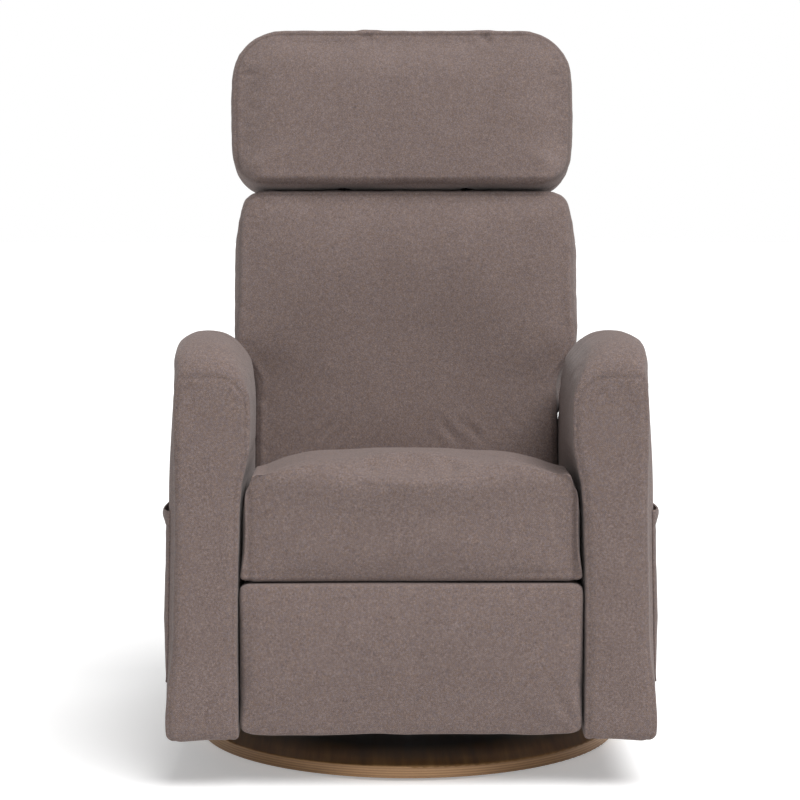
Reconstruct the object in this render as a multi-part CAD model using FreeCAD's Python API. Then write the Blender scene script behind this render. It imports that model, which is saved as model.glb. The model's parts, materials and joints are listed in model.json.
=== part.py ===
import FreeCAD, Part
import math
import os

# Swivel rocker recliner in millimetres, +Z up. The sitter faces -Y and left is the sitter's left, +X.
# The origin lies on the floor at the swivel axis.

# Fits
RUN_CLEAR = 0.05
SOFT_CLEAR = 0.3
OPEN_CLEAR = 2.7

# Round plywood base and its glides
BASE_D = 640.0
BASE_T = 18.0
BASE_EDGE_R = 3.0
GLIDE_D = 36.0
GLIDE_H = 4.0
GLIDE_COUNT = 6
GLIDE_EDGE = 30.0

# Swivel bearing
BALL_D = 10.0
BALL_COUNT = 16
BALL_CIRCLE_D = 220.0
BALL_CLEAR = 0.15
RACE_T = 7.0
RACE_GAP = 4.0
RACE_LIP = 14.0
RACE_FLANGE = 24.0
RACE_BOLTS = 6
BOLT_D = 6.0
BOLT_HEAD_D = 9.0
BOLT_HEAD_H = 3.5
BOLT_EDGE = 5.2
BOLT_GRIP = 12.0

# Swivel plate and rocker
PLATE_X = 330.0
PLATE_Y = 190.0
PLATE_T = 4.0
PLATE_CORNER_R = 25.0
PLATE_HOLE_D = 110.0
ROCK_RISE = 50.0
AXLE_D = 20.0
CHEEK_X = 150.0
CHEEK_T = 6.0
CHEEK_FOOT_Y = 84.0
CHEEK_FOOT_X = 26.0
CHEEK_HEAD_R = 21.0
BUSH_WALL = 4.0
BUSH_FLANGE_W = 4.0
BUSH_FLANGE_T = 2.0
SPRING_X = 95.0
SPRING_Y = 45.0
SPRING_D = 34.0
SPRING_WIRE_D = 6.0
SPRING_TURNS = 4.0
STUD_H = 8.0
STUD_CLEAR = 2.0

# Steel side frames: plates stand side by side across X
RAIL_T = 3.0
LINK_T = 4.0
LINK_GAP = 1.5
LINK_R = 11.0
PIN_R = 5.0
RAIL_INSET = 6.0
BASE_RAIL_FRONT_Y = -225.0
BASE_RAIL_REAR_Y = 152.0
BASE_RAIL_BOTTOM = 109.0
BASE_RAIL_TOP = 176.0
RAIL_CORNER_R = 12.0
RAIL_FLANGE_W = 25.0
RAIL_FLANGE_FRONT_Y = -64.0
EAR_R = 18.0
EAR_SPREAD = 42.0
BAR_Y = 30.0
BAR_Z = 16.0
BAR_WALL = 2.0
LUG_D = 24.0
LUG_Z = 136.0
LUG_FRONT_Y = -205.0
LUG_REAR_Y = 130.0
ARM_BOLT_D = 8.0
ARM_BOLT_HEAD_D = 14.0
ARM_BOLT_HEAD_T = 4.0
ARM_BOLT_BITE = 12.0

# Links that carry the seat
SEAT_LINK_L = 65.0
SEAT_LINK_LEAN = 25.0
SEAT_LINK_Z = 160.0
SEAT_LINK_FRONT_Y = -150.0
SEAT_LINK_REAR_Y = 60.0

# Seat frame and cushion
SEAT_RAIL_FRONT_Y = -285.0
SEAT_RAIL_REAR_Y = 90.0
SEAT_RAIL_BOTTOM = 205.0
SEAT_RAIL_TOP = 294.0
EAR_ROOT_Y = 62.0
EAR_ROOT_Z = 258.0
SEAT_FLANGE_W = 60.0
BOARD_T = 20.0
SEAT_FRONT_BOARD_Z = 245.0
SEAT_REAR_BOARD_Z = 225.0
SEAT_REAR_BOARD_Y = 35.0
SEAT_BOARD_SIDE = 33.0
STRAP_W = 50.0
STRAP_T = 2.0
STRAP_GAP = 10.0
STRAP_SIDE_GAP = 12.0
SEAT_HALF_W = 234.0
SEAT_FRONT_Y = -372.0
SEAT_SIDE_Z = 402.0
SEAT_CROWN_Z = 471.0
SEAT_REAR_TOP_Z = 431.0
SEAT_CORNER_R = 40.0
SEAT_FRONT_R = 45.0
SEAT_LOW_R = 16.0
SEAT_BACK_GAP = 4.0

# Footrest linkage: pivots as distance ahead of the swivel axis and height
DRIVE_AHEAD = 197.6
DRIVE_Z = 262.0
REAR_AHEAD = 168.6
REAR_Z = 235.2
DRIVE_ANGLE = 217.97
DRIVE_L = 130.0
DRIVE_LOBE_L = 121.3
DRIVE_LOBE_ANGLE = -16.21
TUBE_ARM_L = 80.0
TUBE_ARM_ANGLE = -30.0
TUBE_D = 18.0
OUTER_ANGLE = 10.0
OUTER_L = 207.5
INNER_ANGLE = 16.12
INNER_L = 176.3
REAR_LINK_ANGLE = 217.22
REAR_LINK_L = 135.5
TAIL_SLACK_AHEAD = -1.2
TAIL_SLACK_UP = 0.3
BRACKET_SLACK_AHEAD = -0.43
BRACKET_SLACK_UP = 2.12

# Footrest board and pad
FOOT_BOARD_T = 12.0
FOOT_BOARD_INSET = 8.0
FOOT_OVERHANG = 6.0
FOOT_BOTTOM = 80.0
FOOT_GAP = 3.3
FOOT_FRONT_Y = -372.0
FOOT_CORNER_R = 15.0
FOOT_EDGE_R = 14.0
BRACKET_FLANGE_W = 22.0
BRACKET_FLANGE_T = 3.0
BRACKET_BACK_GAP = 0.5

# Arms
ARM_FRONT_Y = -370.0
ARM_REAR_Y = 315.0
ARM_BOTTOM = 72.0
ARM_CLEAR = 3.5
ARM_W = 96.5
ARM_LEAN = 0.0162
ARM_BULGE = 19.5
ARM_BULGE_Z = 480.0
ARM_BULGE_RISE = 85.0
ARM_BULGE_END_Y = 40.0
ARM_SHOULDER = 11.0
ARM_FRONT_TOP = 585.0
ARM_CREST_Y = -270.0
ARM_CREST_Z = 632.0
ARM_REAR_TOP = 340.0
ARM_FALL_POWER = 3.56
ARM_NOSE_STEPS = 5
ARM_FALL_STEPS = 10
ARM_ROUND_OUT = 0.36
ARM_ROUND_IN = 0.52
ARM_PANEL_GAP = 18.5
ARM_PANEL_T = 18.0
ARM_PANEL_INSET = 32.0
ARM_PANEL_RAISE = 6.0
ARM_PANEL_R = 25.0
ARM_PANEL_MID_Y = 40.0
ARM_PANEL_CROWN = 48.0
POCKET_FRONT_Y = -346.0
POCKET_REAR_Y = 60.0
POCKET_BOTTOM = 150.0
POCKET_TOP = 395.0
POCKET_GAP_LOW = 6.0
POCKET_GAP_TOP = 10.5
POCKET_T = 2.5
STRETCHER_T = 14.0
STRETCHER_W = 50.0
STRETCHER_RAISE = 4.0
STRETCHER_Y = -240.0
APRON_Y = 262.0
APRON_T = 18.0
APRON_RAISE = 4.0
APRON_TOP = 316.0
APRON_R = 6.0

# Back: T runs up the back from its pivot, N runs forward from it
BACK_HINGE_Y = 110.0
BACK_HINGE_Z = 300.0
BACK_TILT = 12.0
BACK_FRONT_N = 29.0
BACK_REAR_N = -101.0
BACK_FRAME_N = -45.0
BACK_FRAME_T = 30.0
BACK_BOTTOM_T = 24.0
BACK_STEP_LOW_T = 221.0
BACK_STEP_TOP_T = 303.0
BACK_TOP_T = 545.0
BACK_ARM_GAP = 2.5
BACK_WING = 35.0
BACK_TOP_R = 46.0
BACK_STEP_R = 60.0
BACK_LOW_R = 15.0
BACK_EDGE_R = 26.0
COVER_WALL = 10.0
COVER_EDGE_R = 20.0
POST_W = 29.0
POST_WING_INSET = 14.0
POST_FOOT_GAP = 4.0
POST_NECK_T = 235.0
POST_STEP_T = 330.0
POST_TOP_GAP = 15.0
RAIL_H = 40.0
ROUND_TRIM = 0.5
HINGE_R = 15.0
HINGE_GAP = 3.0
HINGE_LEG_T = 130.0
BACK_STRAPS = 5
BACK_STRAP_FIRST_T = 110.0
BACK_STRAP_PITCH = 80.0

# Headrest, in the same T and N as the back
HEAD_GAP = 3.0
HEAD_H = 263.0
HEAD_OVERHANG = 1.0
HEAD_FRONT_N = 32.0
HEAD_SPLIT_N = -30.0
HEAD_REAR_N = -100.0
HEAD_TOP_R = 60.0
HEAD_LOW_R = 42.0
HEAD_EDGE_R = 30.0
HEAD_COVER_WALL = 8.0
HEAD_BOARD_T = 12.0
HEAD_BOARD_INSET = 38.0
HEAD_BOARD_LOW = 52.0
LEAF_X = 98.0
LEAF_T = 4.0
LEAF_GAP = 0.5
LEAF_W = 18.0
LEAF_STRIP_T = 3.0
LEAF_STRIP_X = 130.0
LEAF_ROOM = 4.0
UPPER_STRIP_H = 40.0
LEAF_SKIN_N = -12.0
LEAF_SKIN_T = 18.0

# Values that follow from the sizes above
BASE_TOP = GLIDE_H + BASE_T
BALL_R = BALL_D / 2
BALL_CIRCLE_R = BALL_CIRCLE_D / 2
BALL_Z = BASE_TOP + RACE_T + RACE_GAP / 2
UPPER_RACE_Z = BASE_TOP + RACE_T + RACE_GAP
PLATE_Z = UPPER_RACE_Z + RACE_T
PLATE_TOP = PLATE_Z + PLATE_T
ROCK_Z = PLATE_TOP + ROCK_RISE
BAR_BOTTOM = BASE_RAIL_BOTTOM + RAIL_T
BOLT_R = BOLT_D / 2
BASE_RAIL_X = SEAT_HALF_W - RAIL_INSET
BASE_RAIL_OUT = BASE_RAIL_X + RAIL_T
SEAT_LINK_OUT = BASE_RAIL_X - LINK_GAP
SEAT_RAIL_OUT = SEAT_LINK_OUT - LINK_T - LINK_GAP
SEAT_RAIL_IN = SEAT_RAIL_OUT - RAIL_T
SEAT_BOTTOM = SEAT_RAIL_TOP + SOFT_CLEAR
SEAT_BOARD_TOP = SEAT_RAIL_TOP - RAIL_T
SEAT_BOARD_X = SEAT_RAIL_IN - SEAT_BOARD_SIDE
FOOT_HALF_W = SEAT_HALF_W + FOOT_OVERHANG
FOOT_TOP = SEAT_BOTTOM - FOOT_GAP
DRIVE_PIVOT = (DRIVE_AHEAD, DRIVE_Z)
REAR_PIVOT = (REAR_AHEAD, REAR_Z)
HOLE_R = PIN_R + RUN_CLEAR
OPEN_R = PIN_R + OPEN_CLEAR
ARM_IN_X = FOOT_HALF_W + ARM_CLEAR
ARM_OUT_X = ARM_IN_X + ARM_W
ARM_BULGE_X = ARM_IN_X - ARM_BULGE
ARM_PANEL_X = ARM_IN_X + ARM_PANEL_GAP
ARM_PANEL_OUT = ARM_PANEL_X + ARM_PANEL_T
ARM_PANEL_BOTTOM = ARM_BOTTOM + ARM_PANEL_RAISE
STRETCHER_Z = ARM_BOTTOM + STRETCHER_RAISE
APRON_BOTTOM = ARM_BOTTOM + APRON_RAISE
BACK_LOW_HALF_W = ARM_IN_X - BACK_ARM_GAP
BACK_HALF_W = BACK_LOW_HALF_W + BACK_WING
POST_OUT_X = SEAT_RAIL_IN - HINGE_GAP - LINK_T
POST_IN_X = POST_OUT_X - POST_W
POST_WING_X = BACK_HALF_W - POST_WING_INSET
POST_TOP_T = BACK_TOP_T - POST_TOP_GAP
BACK_STRAP_N = BACK_FRAME_N + STRAP_T
BACK_CUSHION_N = BACK_STRAP_N + SOFT_CLEAR
HEAD_HALF_W = BACK_HALF_W + HEAD_OVERHANG
HEAD_BOTTOM_T = BACK_TOP_T + HEAD_GAP
HEAD_TOP_T = HEAD_BOTTOM_T + HEAD_H
HEAD_PIVOT_T = HEAD_BOTTOM_T + HEAD_EDGE_R
HEAD_PIVOT_N = HEAD_FRONT_N - HEAD_EDGE_R
HEAD_BOARD_N = HEAD_SPLIT_N - SOFT_CLEAR
HEAD_BOARD_BACK_N = HEAD_BOARD_N - HEAD_BOARD_T

V = FreeCAD.Vector
X_AXIS = V(1, 0, 0)
Z_AXIS = V(0, 0, 1)
BACK_HINGE = V(0, BACK_HINGE_Y, BACK_HINGE_Z)


def box(x, y, z):
    """Block between two limits on each axis."""
    return Part.makeBox(x[1] - x[0], y[1] - y[0], z[1] - z[0], V(x[0], y[0], z[0]))


def rod(radius, x, y, z):
    """Round bar across X between two limits at one (y, z)."""
    return Part.makeCylinder(radius, x[1] - x[0], V(x[0], y, z), X_AXIS)


def disc(radius, z, x=0.0, y=0.0):
    """Upright cylinder between two heights."""
    return Part.makeCylinder(radius, z[1] - z[0], V(x, y, z[0]), Z_AXIS)


def ring_spots(radius, count, turn=0.0):
    """Evenly spaced (x, y) places on a circle about the swivel axis."""
    step = 2 * math.pi / count
    return [(radius * math.cos(turn + step * i), radius * math.sin(turn + step * i)) for i in range(count)]


def mirrored(shape):
    """The same piece on the sitter's right."""
    return shape.mirror(V(0, 0, 0), X_AXIS)


def rounded_wire(corners, place):
    """Closed outline of straight runs, each corner (a, b, r) rounded by a tangent arc."""
    points = [(V(a, b, 0), r) for a, b, r in corners]
    edges = []
    starts = []
    ends = []
    mids = []
    for i, (corner, radius) in enumerate(points):
        back = points[i - 1][0] - corner
        ahead = points[(i + 1) % len(points)][0] - corner
        back.normalize()
        ahead.normalize()
        half = back.getAngle(ahead) / 2
        middle = back + ahead
        if radius > 0:
            middle.normalize()
        starts.append(corner + back * (radius / math.tan(half)))
        ends.append(corner + ahead * (radius / math.tan(half)))
        mids.append(corner + middle * (radius / math.sin(half) - radius))
    for i, (corner, radius) in enumerate(points):
        if radius > 0:
            arc = Part.Arc(place(starts[i]), place(mids[i]), place(ends[i]))
            edges.append(arc.toShape())
        following = starts[(i + 1) % len(points)]
        if ends[i].distanceToPoint(following) > 1e-6:
            edges.append(Part.makeLine(place(ends[i]), place(following)))
    return Part.Wire(edges)


def side_plate(corners, x):
    """Plate between two X limits with a rounded outline in (y, z)."""
    wire = rounded_wire(corners, lambda p: V(x[0], p.x, p.y))
    return Part.Face(wire).extrude(V(x[1] - x[0], 0, 0))


def front_slab(corners, y):
    """Slab between two Y limits with a rounded outline in (x, z)."""
    wire = rounded_wire(corners, lambda p: V(p.x, y[0], p.y))
    return Part.Face(wire).extrude(V(0, y[1] - y[0], 0))


def level_slab(corners, z):
    """Slab between two heights with a rounded outline in (x, y)."""
    wire = rounded_wire(corners, lambda p: V(p.x, p.y, z[0]))
    return Part.Face(wire).extrude(V(0, 0, z[1] - z[0]))


def band_plate(ring, radius, x):
    """Plate whose outline keeps one radius around a convex ring of (y, z) pivots."""
    pivots = [V(x[0], y, z) for y, z in ring]
    edges = []
    count = len(pivots)
    middle = V(0, 0, 0)
    for pivot in pivots:
        middle = middle + pivot * (1.0 / count)
    normals = []
    for i in range(count):
        run = pivots[(i + 1) % count] - pivots[i]
        run.normalize()
        normals.append(run.cross(X_AXIS))
    turning = sum(normals[i].dot(pivots[i] - middle) for i in range(count))
    if turning < -1e-6:
        return band_plate(list(reversed(ring)), radius, x)
    for i in range(count):
        before = normals[i - 1]
        after = normals[i]
        bisector = before + after
        if bisector.Length < 1e-6:
            bisector = pivots[i] - pivots[i - 1]
        bisector.normalize()
        start = pivots[i] + before * radius
        crown = pivots[i] + bisector * radius
        end = pivots[i] + after * radius
        edges.append(Part.Arc(start, crown, end).toShape())
        edges.append(Part.makeLine(end, pivots[(i + 1) % count] + after * radius))
    return Part.Face(Part.Wire(edges)).extrude(V(x[1] - x[0], 0, 0))


def edges_at(shape, test):
    """Edges all of whose ends and middle pass a test."""
    found = []
    for edge in shape.Edges:
        middle = edge.valueAt((edge.FirstParameter + edge.LastParameter) / 2)
        if all(test(point) for point in [middle] + [vertex.Point for vertex in edge.Vertexes]):
            found.append(edge)
    return found


def near(value, target):
    return abs(value - target) < 1e-4


def layer(number):
    """X limits of one sheet of the footrest linkage, counted inwards from the seat rail."""
    outer = SEAT_RAIL_IN - LINK_GAP - (number - 1) * (LINK_T + LINK_GAP)
    return (outer - LINK_T, outer)


def reach(pivot, length, degrees):
    """Place at a length and angle ahead-and-up from a (distance ahead, height) pivot."""
    turn = math.radians(degrees)
    return (pivot[0] + length * math.cos(turn), pivot[1] + length * math.sin(turn))


def yz(pivot):
    """Footrest pivot as (y, z)."""
    return (-pivot[0], pivot[1])


# Footrest pivots at rest
OUTER_PIVOT = reach(DRIVE_PIVOT, DRIVE_L, DRIVE_ANGLE)
INNER_PIVOT = reach(DRIVE_PIVOT, DRIVE_LOBE_L, DRIVE_ANGLE + DRIVE_LOBE_ANGLE)
TUBE_PIVOT = reach(DRIVE_PIVOT, TUBE_ARM_L, DRIVE_ANGLE + TUBE_ARM_ANGLE)
BOARD_PIVOT = reach(OUTER_PIVOT, OUTER_L, OUTER_ANGLE)
INNER_END = reach(INNER_PIVOT, INNER_L, INNER_ANGLE)
REAR_END = reach(REAR_PIVOT, REAR_LINK_L, REAR_LINK_ANGLE)
TAIL_PIVOT = (REAR_END[0] + TAIL_SLACK_AHEAD, REAR_END[1] + TAIL_SLACK_UP)
BRACKET_END = (INNER_END[0] + BRACKET_SLACK_AHEAD, INNER_END[1] + BRACKET_SLACK_UP)
FOOT_BOARD_BACK_Y = -(BOARD_PIVOT[0] + LINK_R + BRACKET_BACK_GAP)
FOOT_BOARD_FRONT_Y = FOOT_BOARD_BACK_Y - FOOT_BOARD_T


# Base and swivel

def base_disc():
    body = disc(BASE_D / 2, (GLIDE_H, BASE_TOP))
    return body.makeFillet(BASE_EDGE_R, edges_at(body, lambda p: near(p.z, GLIDE_H) or near(p.z, BASE_TOP)))


def floor_glides():
    radius = BASE_D / 2 - GLIDE_EDGE - GLIDE_D / 2
    spots = ring_spots(radius, GLIDE_COUNT)
    return Part.makeCompound([disc(GLIDE_D / 2, (0, GLIDE_H), x, y) for x, y in spots])


def bearing_race(inner, outer, z):
    ring = disc(outer, z).cut(disc(inner, z))
    groove = Part.makeTorus(BALL_CIRCLE_R, BALL_R + BALL_CLEAR, V(0, 0, BALL_Z))
    return ring.cut(groove)


def bored(shape, spots, radius, z):
    """Shape with upright holes at each spot."""
    for x, y in spots:
        shape = shape.cut(disc(radius, z, x, y))
    return shape


LOWER_SPOTS = ring_spots(BALL_CIRCLE_R - RACE_FLANGE + BOLT_EDGE, RACE_BOLTS)
UPPER_SPOTS = ring_spots(BALL_CIRCLE_R + RACE_FLANGE - BOLT_EDGE, RACE_BOLTS, math.pi / RACE_BOLTS)
LOWER_RACE_Z = (BASE_TOP, BASE_TOP + RACE_T)
UPPER_RACE_SPAN = (UPPER_RACE_Z, PLATE_Z)


def bearing_lower_race():
    ring = bearing_race(BALL_CIRCLE_R - RACE_FLANGE, BALL_CIRCLE_R + RACE_LIP, LOWER_RACE_Z)
    return bored(ring, LOWER_SPOTS, BOLT_R + RUN_CLEAR, LOWER_RACE_Z)


def bearing_upper_race():
    ring = bearing_race(BALL_CIRCLE_R - RACE_LIP, BALL_CIRCLE_R + RACE_FLANGE, UPPER_RACE_SPAN)
    return bored(ring, UPPER_SPOTS, BOLT_R + RUN_CLEAR, UPPER_RACE_SPAN)


def bearing_balls():
    spots = ring_spots(BALL_CIRCLE_R, BALL_COUNT)
    return Part.makeCompound([Part.makeSphere(BALL_R, V(x, y, BALL_Z)) for x, y in spots])


def drilled_base():
    z = (BASE_TOP - BOLT_GRIP, BASE_TOP)
    return bored(base_disc(), LOWER_SPOTS, BOLT_R + RUN_CLEAR, z)


def base_bolts():
    """Screws down through the lower race into the disc."""
    top = BASE_TOP + RACE_T
    bolts = []
    for x, y in LOWER_SPOTS:
        shank = disc(BOLT_R, (BASE_TOP - BOLT_GRIP, top), x, y)
        bolts.append(shank.fuse(disc(BOLT_HEAD_D / 2, (top, top + BOLT_HEAD_H), x, y)).removeSplitter())
    return Part.makeCompound(bolts)


def swivel_bolts():
    """Bolts up through the upper race into the plate."""
    bolts = []
    for x, y in UPPER_SPOTS:
        shank = disc(BOLT_R, (UPPER_RACE_Z, PLATE_TOP), x, y)
        head = disc(BOLT_HEAD_D / 2, (UPPER_RACE_Z - BOLT_HEAD_H, UPPER_RACE_Z), x, y)
        bolts.append(shank.fuse(head).removeSplitter())
    return Part.makeCompound(bolts)


def spring_spots():
    return [(sx * SPRING_X, sy * SPRING_Y) for sx in (-1, 1) for sy in (-1, 1)]


STUD_R = SPRING_D / 2 - SPRING_WIRE_D - STUD_CLEAR


def swivel_plate():
    half_x = PLATE_X / 2
    half_y = PLATE_Y / 2
    corners = [(sx * half_x, sy * half_y, PLATE_CORNER_R) for sx, sy in ((-1, -1), (1, -1), (1, 1), (-1, 1))]
    z = (PLATE_Z, PLATE_TOP)
    plate = level_slab(corners, z).cut(disc(PLATE_HOLE_D / 2, z))
    plate = bored(plate, UPPER_SPOTS, BOLT_R + RUN_CLEAR, z)
    for x, y in spring_spots():
        plate = plate.fuse(disc(STUD_R, (PLATE_TOP, PLATE_TOP + STUD_H), x, y))
    return plate.removeSplitter()


BUSH_R = AXLE_D / 2 + RUN_CLEAR + BUSH_WALL


def rocker_bracket():
    """Upright cheek with an inward foot, standing on the swivel plate."""
    x = (CHEEK_X, CHEEK_X + CHEEK_T)
    half = CHEEK_FOOT_Y / 2
    foot_z = (PLATE_TOP, PLATE_TOP + CHEEK_T)
    cheek = band_plate([(0, ROCK_Z), (-half + CHEEK_HEAD_R, PLATE_TOP), (half - CHEEK_HEAD_R, PLATE_TOP)],
                       CHEEK_HEAD_R, x)
    cheek = cheek.cut(box((x[0], x[1]), (-half, half), (PLATE_TOP - CHEEK_HEAD_R, PLATE_TOP)))
    foot = box((CHEEK_X - CHEEK_FOOT_X, CHEEK_X), (-half, half), foot_z)
    cheek = cheek.fuse(foot).cut(rod(BUSH_R, x, 0, ROCK_Z))
    return cheek.removeSplitter()


def rocker_bushes():
    """Flanged bushes that carry the rocking axle."""
    barrel = rod(BUSH_R, (CHEEK_X, CHEEK_X + CHEEK_T), 0, ROCK_Z)
    outer = CHEEK_X + CHEEK_T
    flange = rod(BUSH_R + BUSH_FLANGE_W, (outer, outer + BUSH_FLANGE_T), 0, ROCK_Z)
    bore = rod(AXLE_D / 2 + RUN_CLEAR, (CHEEK_X, outer + BUSH_FLANGE_T), 0, ROCK_Z)
    bush = barrel.fuse(flange).cut(bore).removeSplitter()
    return Part.makeCompound([bush, mirrored(bush)])


# Rocking side frames

def rocker_axle():
    """Axle through both bushes, shouldered against the side rails and riveted over outside them."""
    bar = rod(AXLE_D / 2, (-BASE_RAIL_X, BASE_RAIL_X), 0, ROCK_Z)
    spigot = rod(AXLE_D / 2 - RAIL_T, (-BASE_RAIL_OUT, BASE_RAIL_OUT), 0, ROCK_Z)
    head = rod(AXLE_D / 2, (BASE_RAIL_OUT, BASE_RAIL_OUT + RAIL_T), 0, ROCK_Z)
    return bar.fuse([spigot, head, mirrored(head)]).removeSplitter()


def coil_spring(x, y):
    """Compression coil between the swivel plate and a cross bar."""
    wire_r = SPRING_WIRE_D / 2
    coil_r = SPRING_D / 2 - wire_r
    low = PLATE_TOP + wire_r
    height = BAR_BOTTOM - wire_r - low
    helix = Part.makeHelix(height / SPRING_TURNS, height, coil_r)
    section = Part.Wire([Part.makeCircle(wire_r, V(coil_r, 0, 0), V(0, 1, 0))])
    coil = Part.Wire(helix.Edges).makePipeShell([section], True, True)
    coil.translate(V(x, y, low))
    return coil


def rocker_springs():
    return Part.makeCompound([coil_spring(x, y) for x, y in spring_spots()])


def base_rail():
    """Pressed side rail with the axle's ear, a floor flange for the cross bars and two arm lugs."""
    x = (BASE_RAIL_X, BASE_RAIL_OUT)
    corners = [(BASE_RAIL_FRONT_Y, BASE_RAIL_BOTTOM, RAIL_CORNER_R), (BASE_RAIL_REAR_Y, BASE_RAIL_BOTTOM, 0),
               (BASE_RAIL_REAR_Y, BASE_RAIL_TOP, RAIL_CORNER_R),
               (BASE_RAIL_FRONT_Y, BASE_RAIL_TOP, RAIL_CORNER_R)]
    web = side_plate(corners, x)
    shoulder = BASE_RAIL_BOTTOM + EAR_R
    ear = band_plate([(0, ROCK_Z), (EAR_SPREAD, shoulder), (-EAR_SPREAD, shoulder)], EAR_R, x)
    flange = box((BASE_RAIL_X - RAIL_FLANGE_W, BASE_RAIL_X), (RAIL_FLANGE_FRONT_Y, BASE_RAIL_REAR_Y),
                 (BASE_RAIL_BOTTOM, BAR_BOTTOM))
    rail = web.fuse([ear, flange])
    for y in (LUG_FRONT_Y, LUG_REAR_Y):
        rail = rail.fuse(rod(LUG_D / 2, (BASE_RAIL_OUT, ARM_PANEL_X), y, LUG_Z))
        rail = rail.cut(rod(ARM_BOLT_D / 2 + RUN_CLEAR, (BASE_RAIL_X, ARM_PANEL_X), y, LUG_Z))
    for y in (SEAT_LINK_FRONT_Y, SEAT_LINK_REAR_Y):
        rail = rail.cut(rod(HOLE_R, x, y, SEAT_LINK_Z))
    return rail.cut(rod(AXLE_D / 2 - RAIL_T, x, 0, ROCK_Z)).removeSplitter()


def cross_bar(y):
    """Square tube across the chair, with studs that hold the spring tops."""
    z = (BAR_BOTTOM, BAR_BOTTOM + BAR_Z)
    span = (-BASE_RAIL_X, BASE_RAIL_X)
    half = BAR_Y / 2
    outer = box(span, (y - half, y + half), z)
    inner = box(span, (y - half + BAR_WALL, y + half - BAR_WALL), (z[0] + BAR_WALL, z[1] - BAR_WALL))
    bar = outer.cut(inner)
    for x in (-SPRING_X, SPRING_X):
        bar = bar.fuse(disc(STUD_R, (BAR_BOTTOM - STUD_H, BAR_BOTTOM), x, y))
    return bar.removeSplitter()


def arm_bolts():
    """Bolts from inside each rail through its lugs into the arm panels."""
    bolts = []
    for y in (LUG_FRONT_Y, LUG_REAR_Y):
        shank = rod(ARM_BOLT_D / 2, (BASE_RAIL_X, ARM_PANEL_X + ARM_BOLT_BITE), y, LUG_Z)
        head = rod(ARM_BOLT_HEAD_D / 2, (BASE_RAIL_X - ARM_BOLT_HEAD_T, BASE_RAIL_X), y, LUG_Z)
        bolt = shank.fuse(head).removeSplitter()
        bolts.extend([bolt, mirrored(bolt)])
    return Part.makeCompound(bolts)


# Arms

def arm_top(y):
    """Height of the arm's top line: a rounded nose, then a fall that steepens to the rear."""
    if y < ARM_CREST_Y:
        nose = (ARM_CREST_Y - y) / (ARM_CREST_Y - ARM_FRONT_Y)
        return ARM_FRONT_TOP + (ARM_CREST_Z - ARM_FRONT_TOP) * math.sqrt(max(0.0, 1 - nose ** 2))
    fall = (y - ARM_CREST_Y) / (ARM_REAR_Y - ARM_CREST_Y)
    return ARM_CREST_Z - (ARM_CREST_Z - ARM_REAR_TOP) * fall ** ARM_FALL_POWER


def arm_out(z):
    """X of the arm's outer face, which leans in towards the top."""
    return ARM_OUT_X - ARM_LEAN * (z - ARM_BOTTOM)


def arm_section(y):
    """Outline across the arm at one Y: straight skirt, inward bulge over the seat, rounded top."""
    top = arm_top(y)
    toe = min(1.0, (y - ARM_FRONT_Y) / (ARM_BULGE_END_Y - ARM_FRONT_Y))
    inner = ARM_BULGE_X + (ARM_IN_X - ARM_BULGE_X) * toe
    width = arm_out(top) - inner
    out_r = ARM_ROUND_OUT * width
    in_r = ARM_ROUND_IN * width
    out_side = top - out_r
    in_side = top - in_r
    outer = arm_out(out_side)
    bulge = min(ARM_BULGE_Z, in_side - ARM_SHOULDER)
    bend = 1 - math.sqrt(0.5)
    points = [V(ARM_IN_X, y, ARM_BOTTOM), V(ARM_OUT_X, y, ARM_BOTTOM), V(outer, y, out_side)]
    crown = [V(outer - out_r, y, top), V(inner + in_r, y, top)]
    rest = [V(inner, y, in_side), V(inner, y, bulge), V(ARM_IN_X, y, bulge - ARM_BULGE_RISE)]
    edges = [Part.makeLine(points[0], points[1]), Part.makeLine(points[1], points[2])]
    edges.append(Part.Arc(points[2], V(outer - bend * out_r, y, top - bend * out_r), crown[0]).toShape())
    edges.append(Part.makeLine(crown[0], crown[1]))
    edges.append(Part.Arc(crown[1], V(inner + bend * in_r, y, top - bend * in_r), rest[0]).toShape())
    edges.append(Part.makeLine(rest[0], rest[1]))
    edges.append(Part.makeLine(rest[1], rest[2]))
    edges.append(Part.makeLine(rest[2], points[0]))
    return Part.Wire(edges)


def arm_panel_plate(grow):
    """Plywood core of the arm, or the room for it in the pad when grown by a clearance."""
    front = ARM_FRONT_Y + ARM_PANEL_INSET - grow
    rear = ARM_REAR_Y - ARM_PANEL_INSET + grow
    low = ARM_PANEL_BOTTOM - grow
    radius = ARM_PANEL_R + grow
    corners = [(front, low, radius), (rear, low, radius),
               (rear, arm_top(rear) - ARM_PANEL_CROWN + grow, radius),
               (ARM_PANEL_MID_Y, arm_top(ARM_PANEL_MID_Y) - ARM_PANEL_CROWN + grow, radius),
               (front, arm_top(front) - ARM_PANEL_CROWN + grow, radius)]
    return side_plate(corners, (ARM_PANEL_X - grow, ARM_PANEL_OUT + grow))


def arm_panel():
    panel = arm_panel_plate(0.0)
    bite = (ARM_PANEL_X, ARM_PANEL_X + ARM_BOLT_BITE)
    for y in (LUG_FRONT_Y, LUG_REAR_Y):
        panel = panel.cut(rod(ARM_BOLT_D / 2 + RUN_CLEAR, bite, y, LUG_Z))
    return panel


def stretcher_limits(grow):
    y = (STRETCHER_Y - grow, STRETCHER_Y + STRETCHER_W + grow)
    z = (STRETCHER_Z - grow, STRETCHER_Z + STRETCHER_T + grow)
    return y, z


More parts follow.
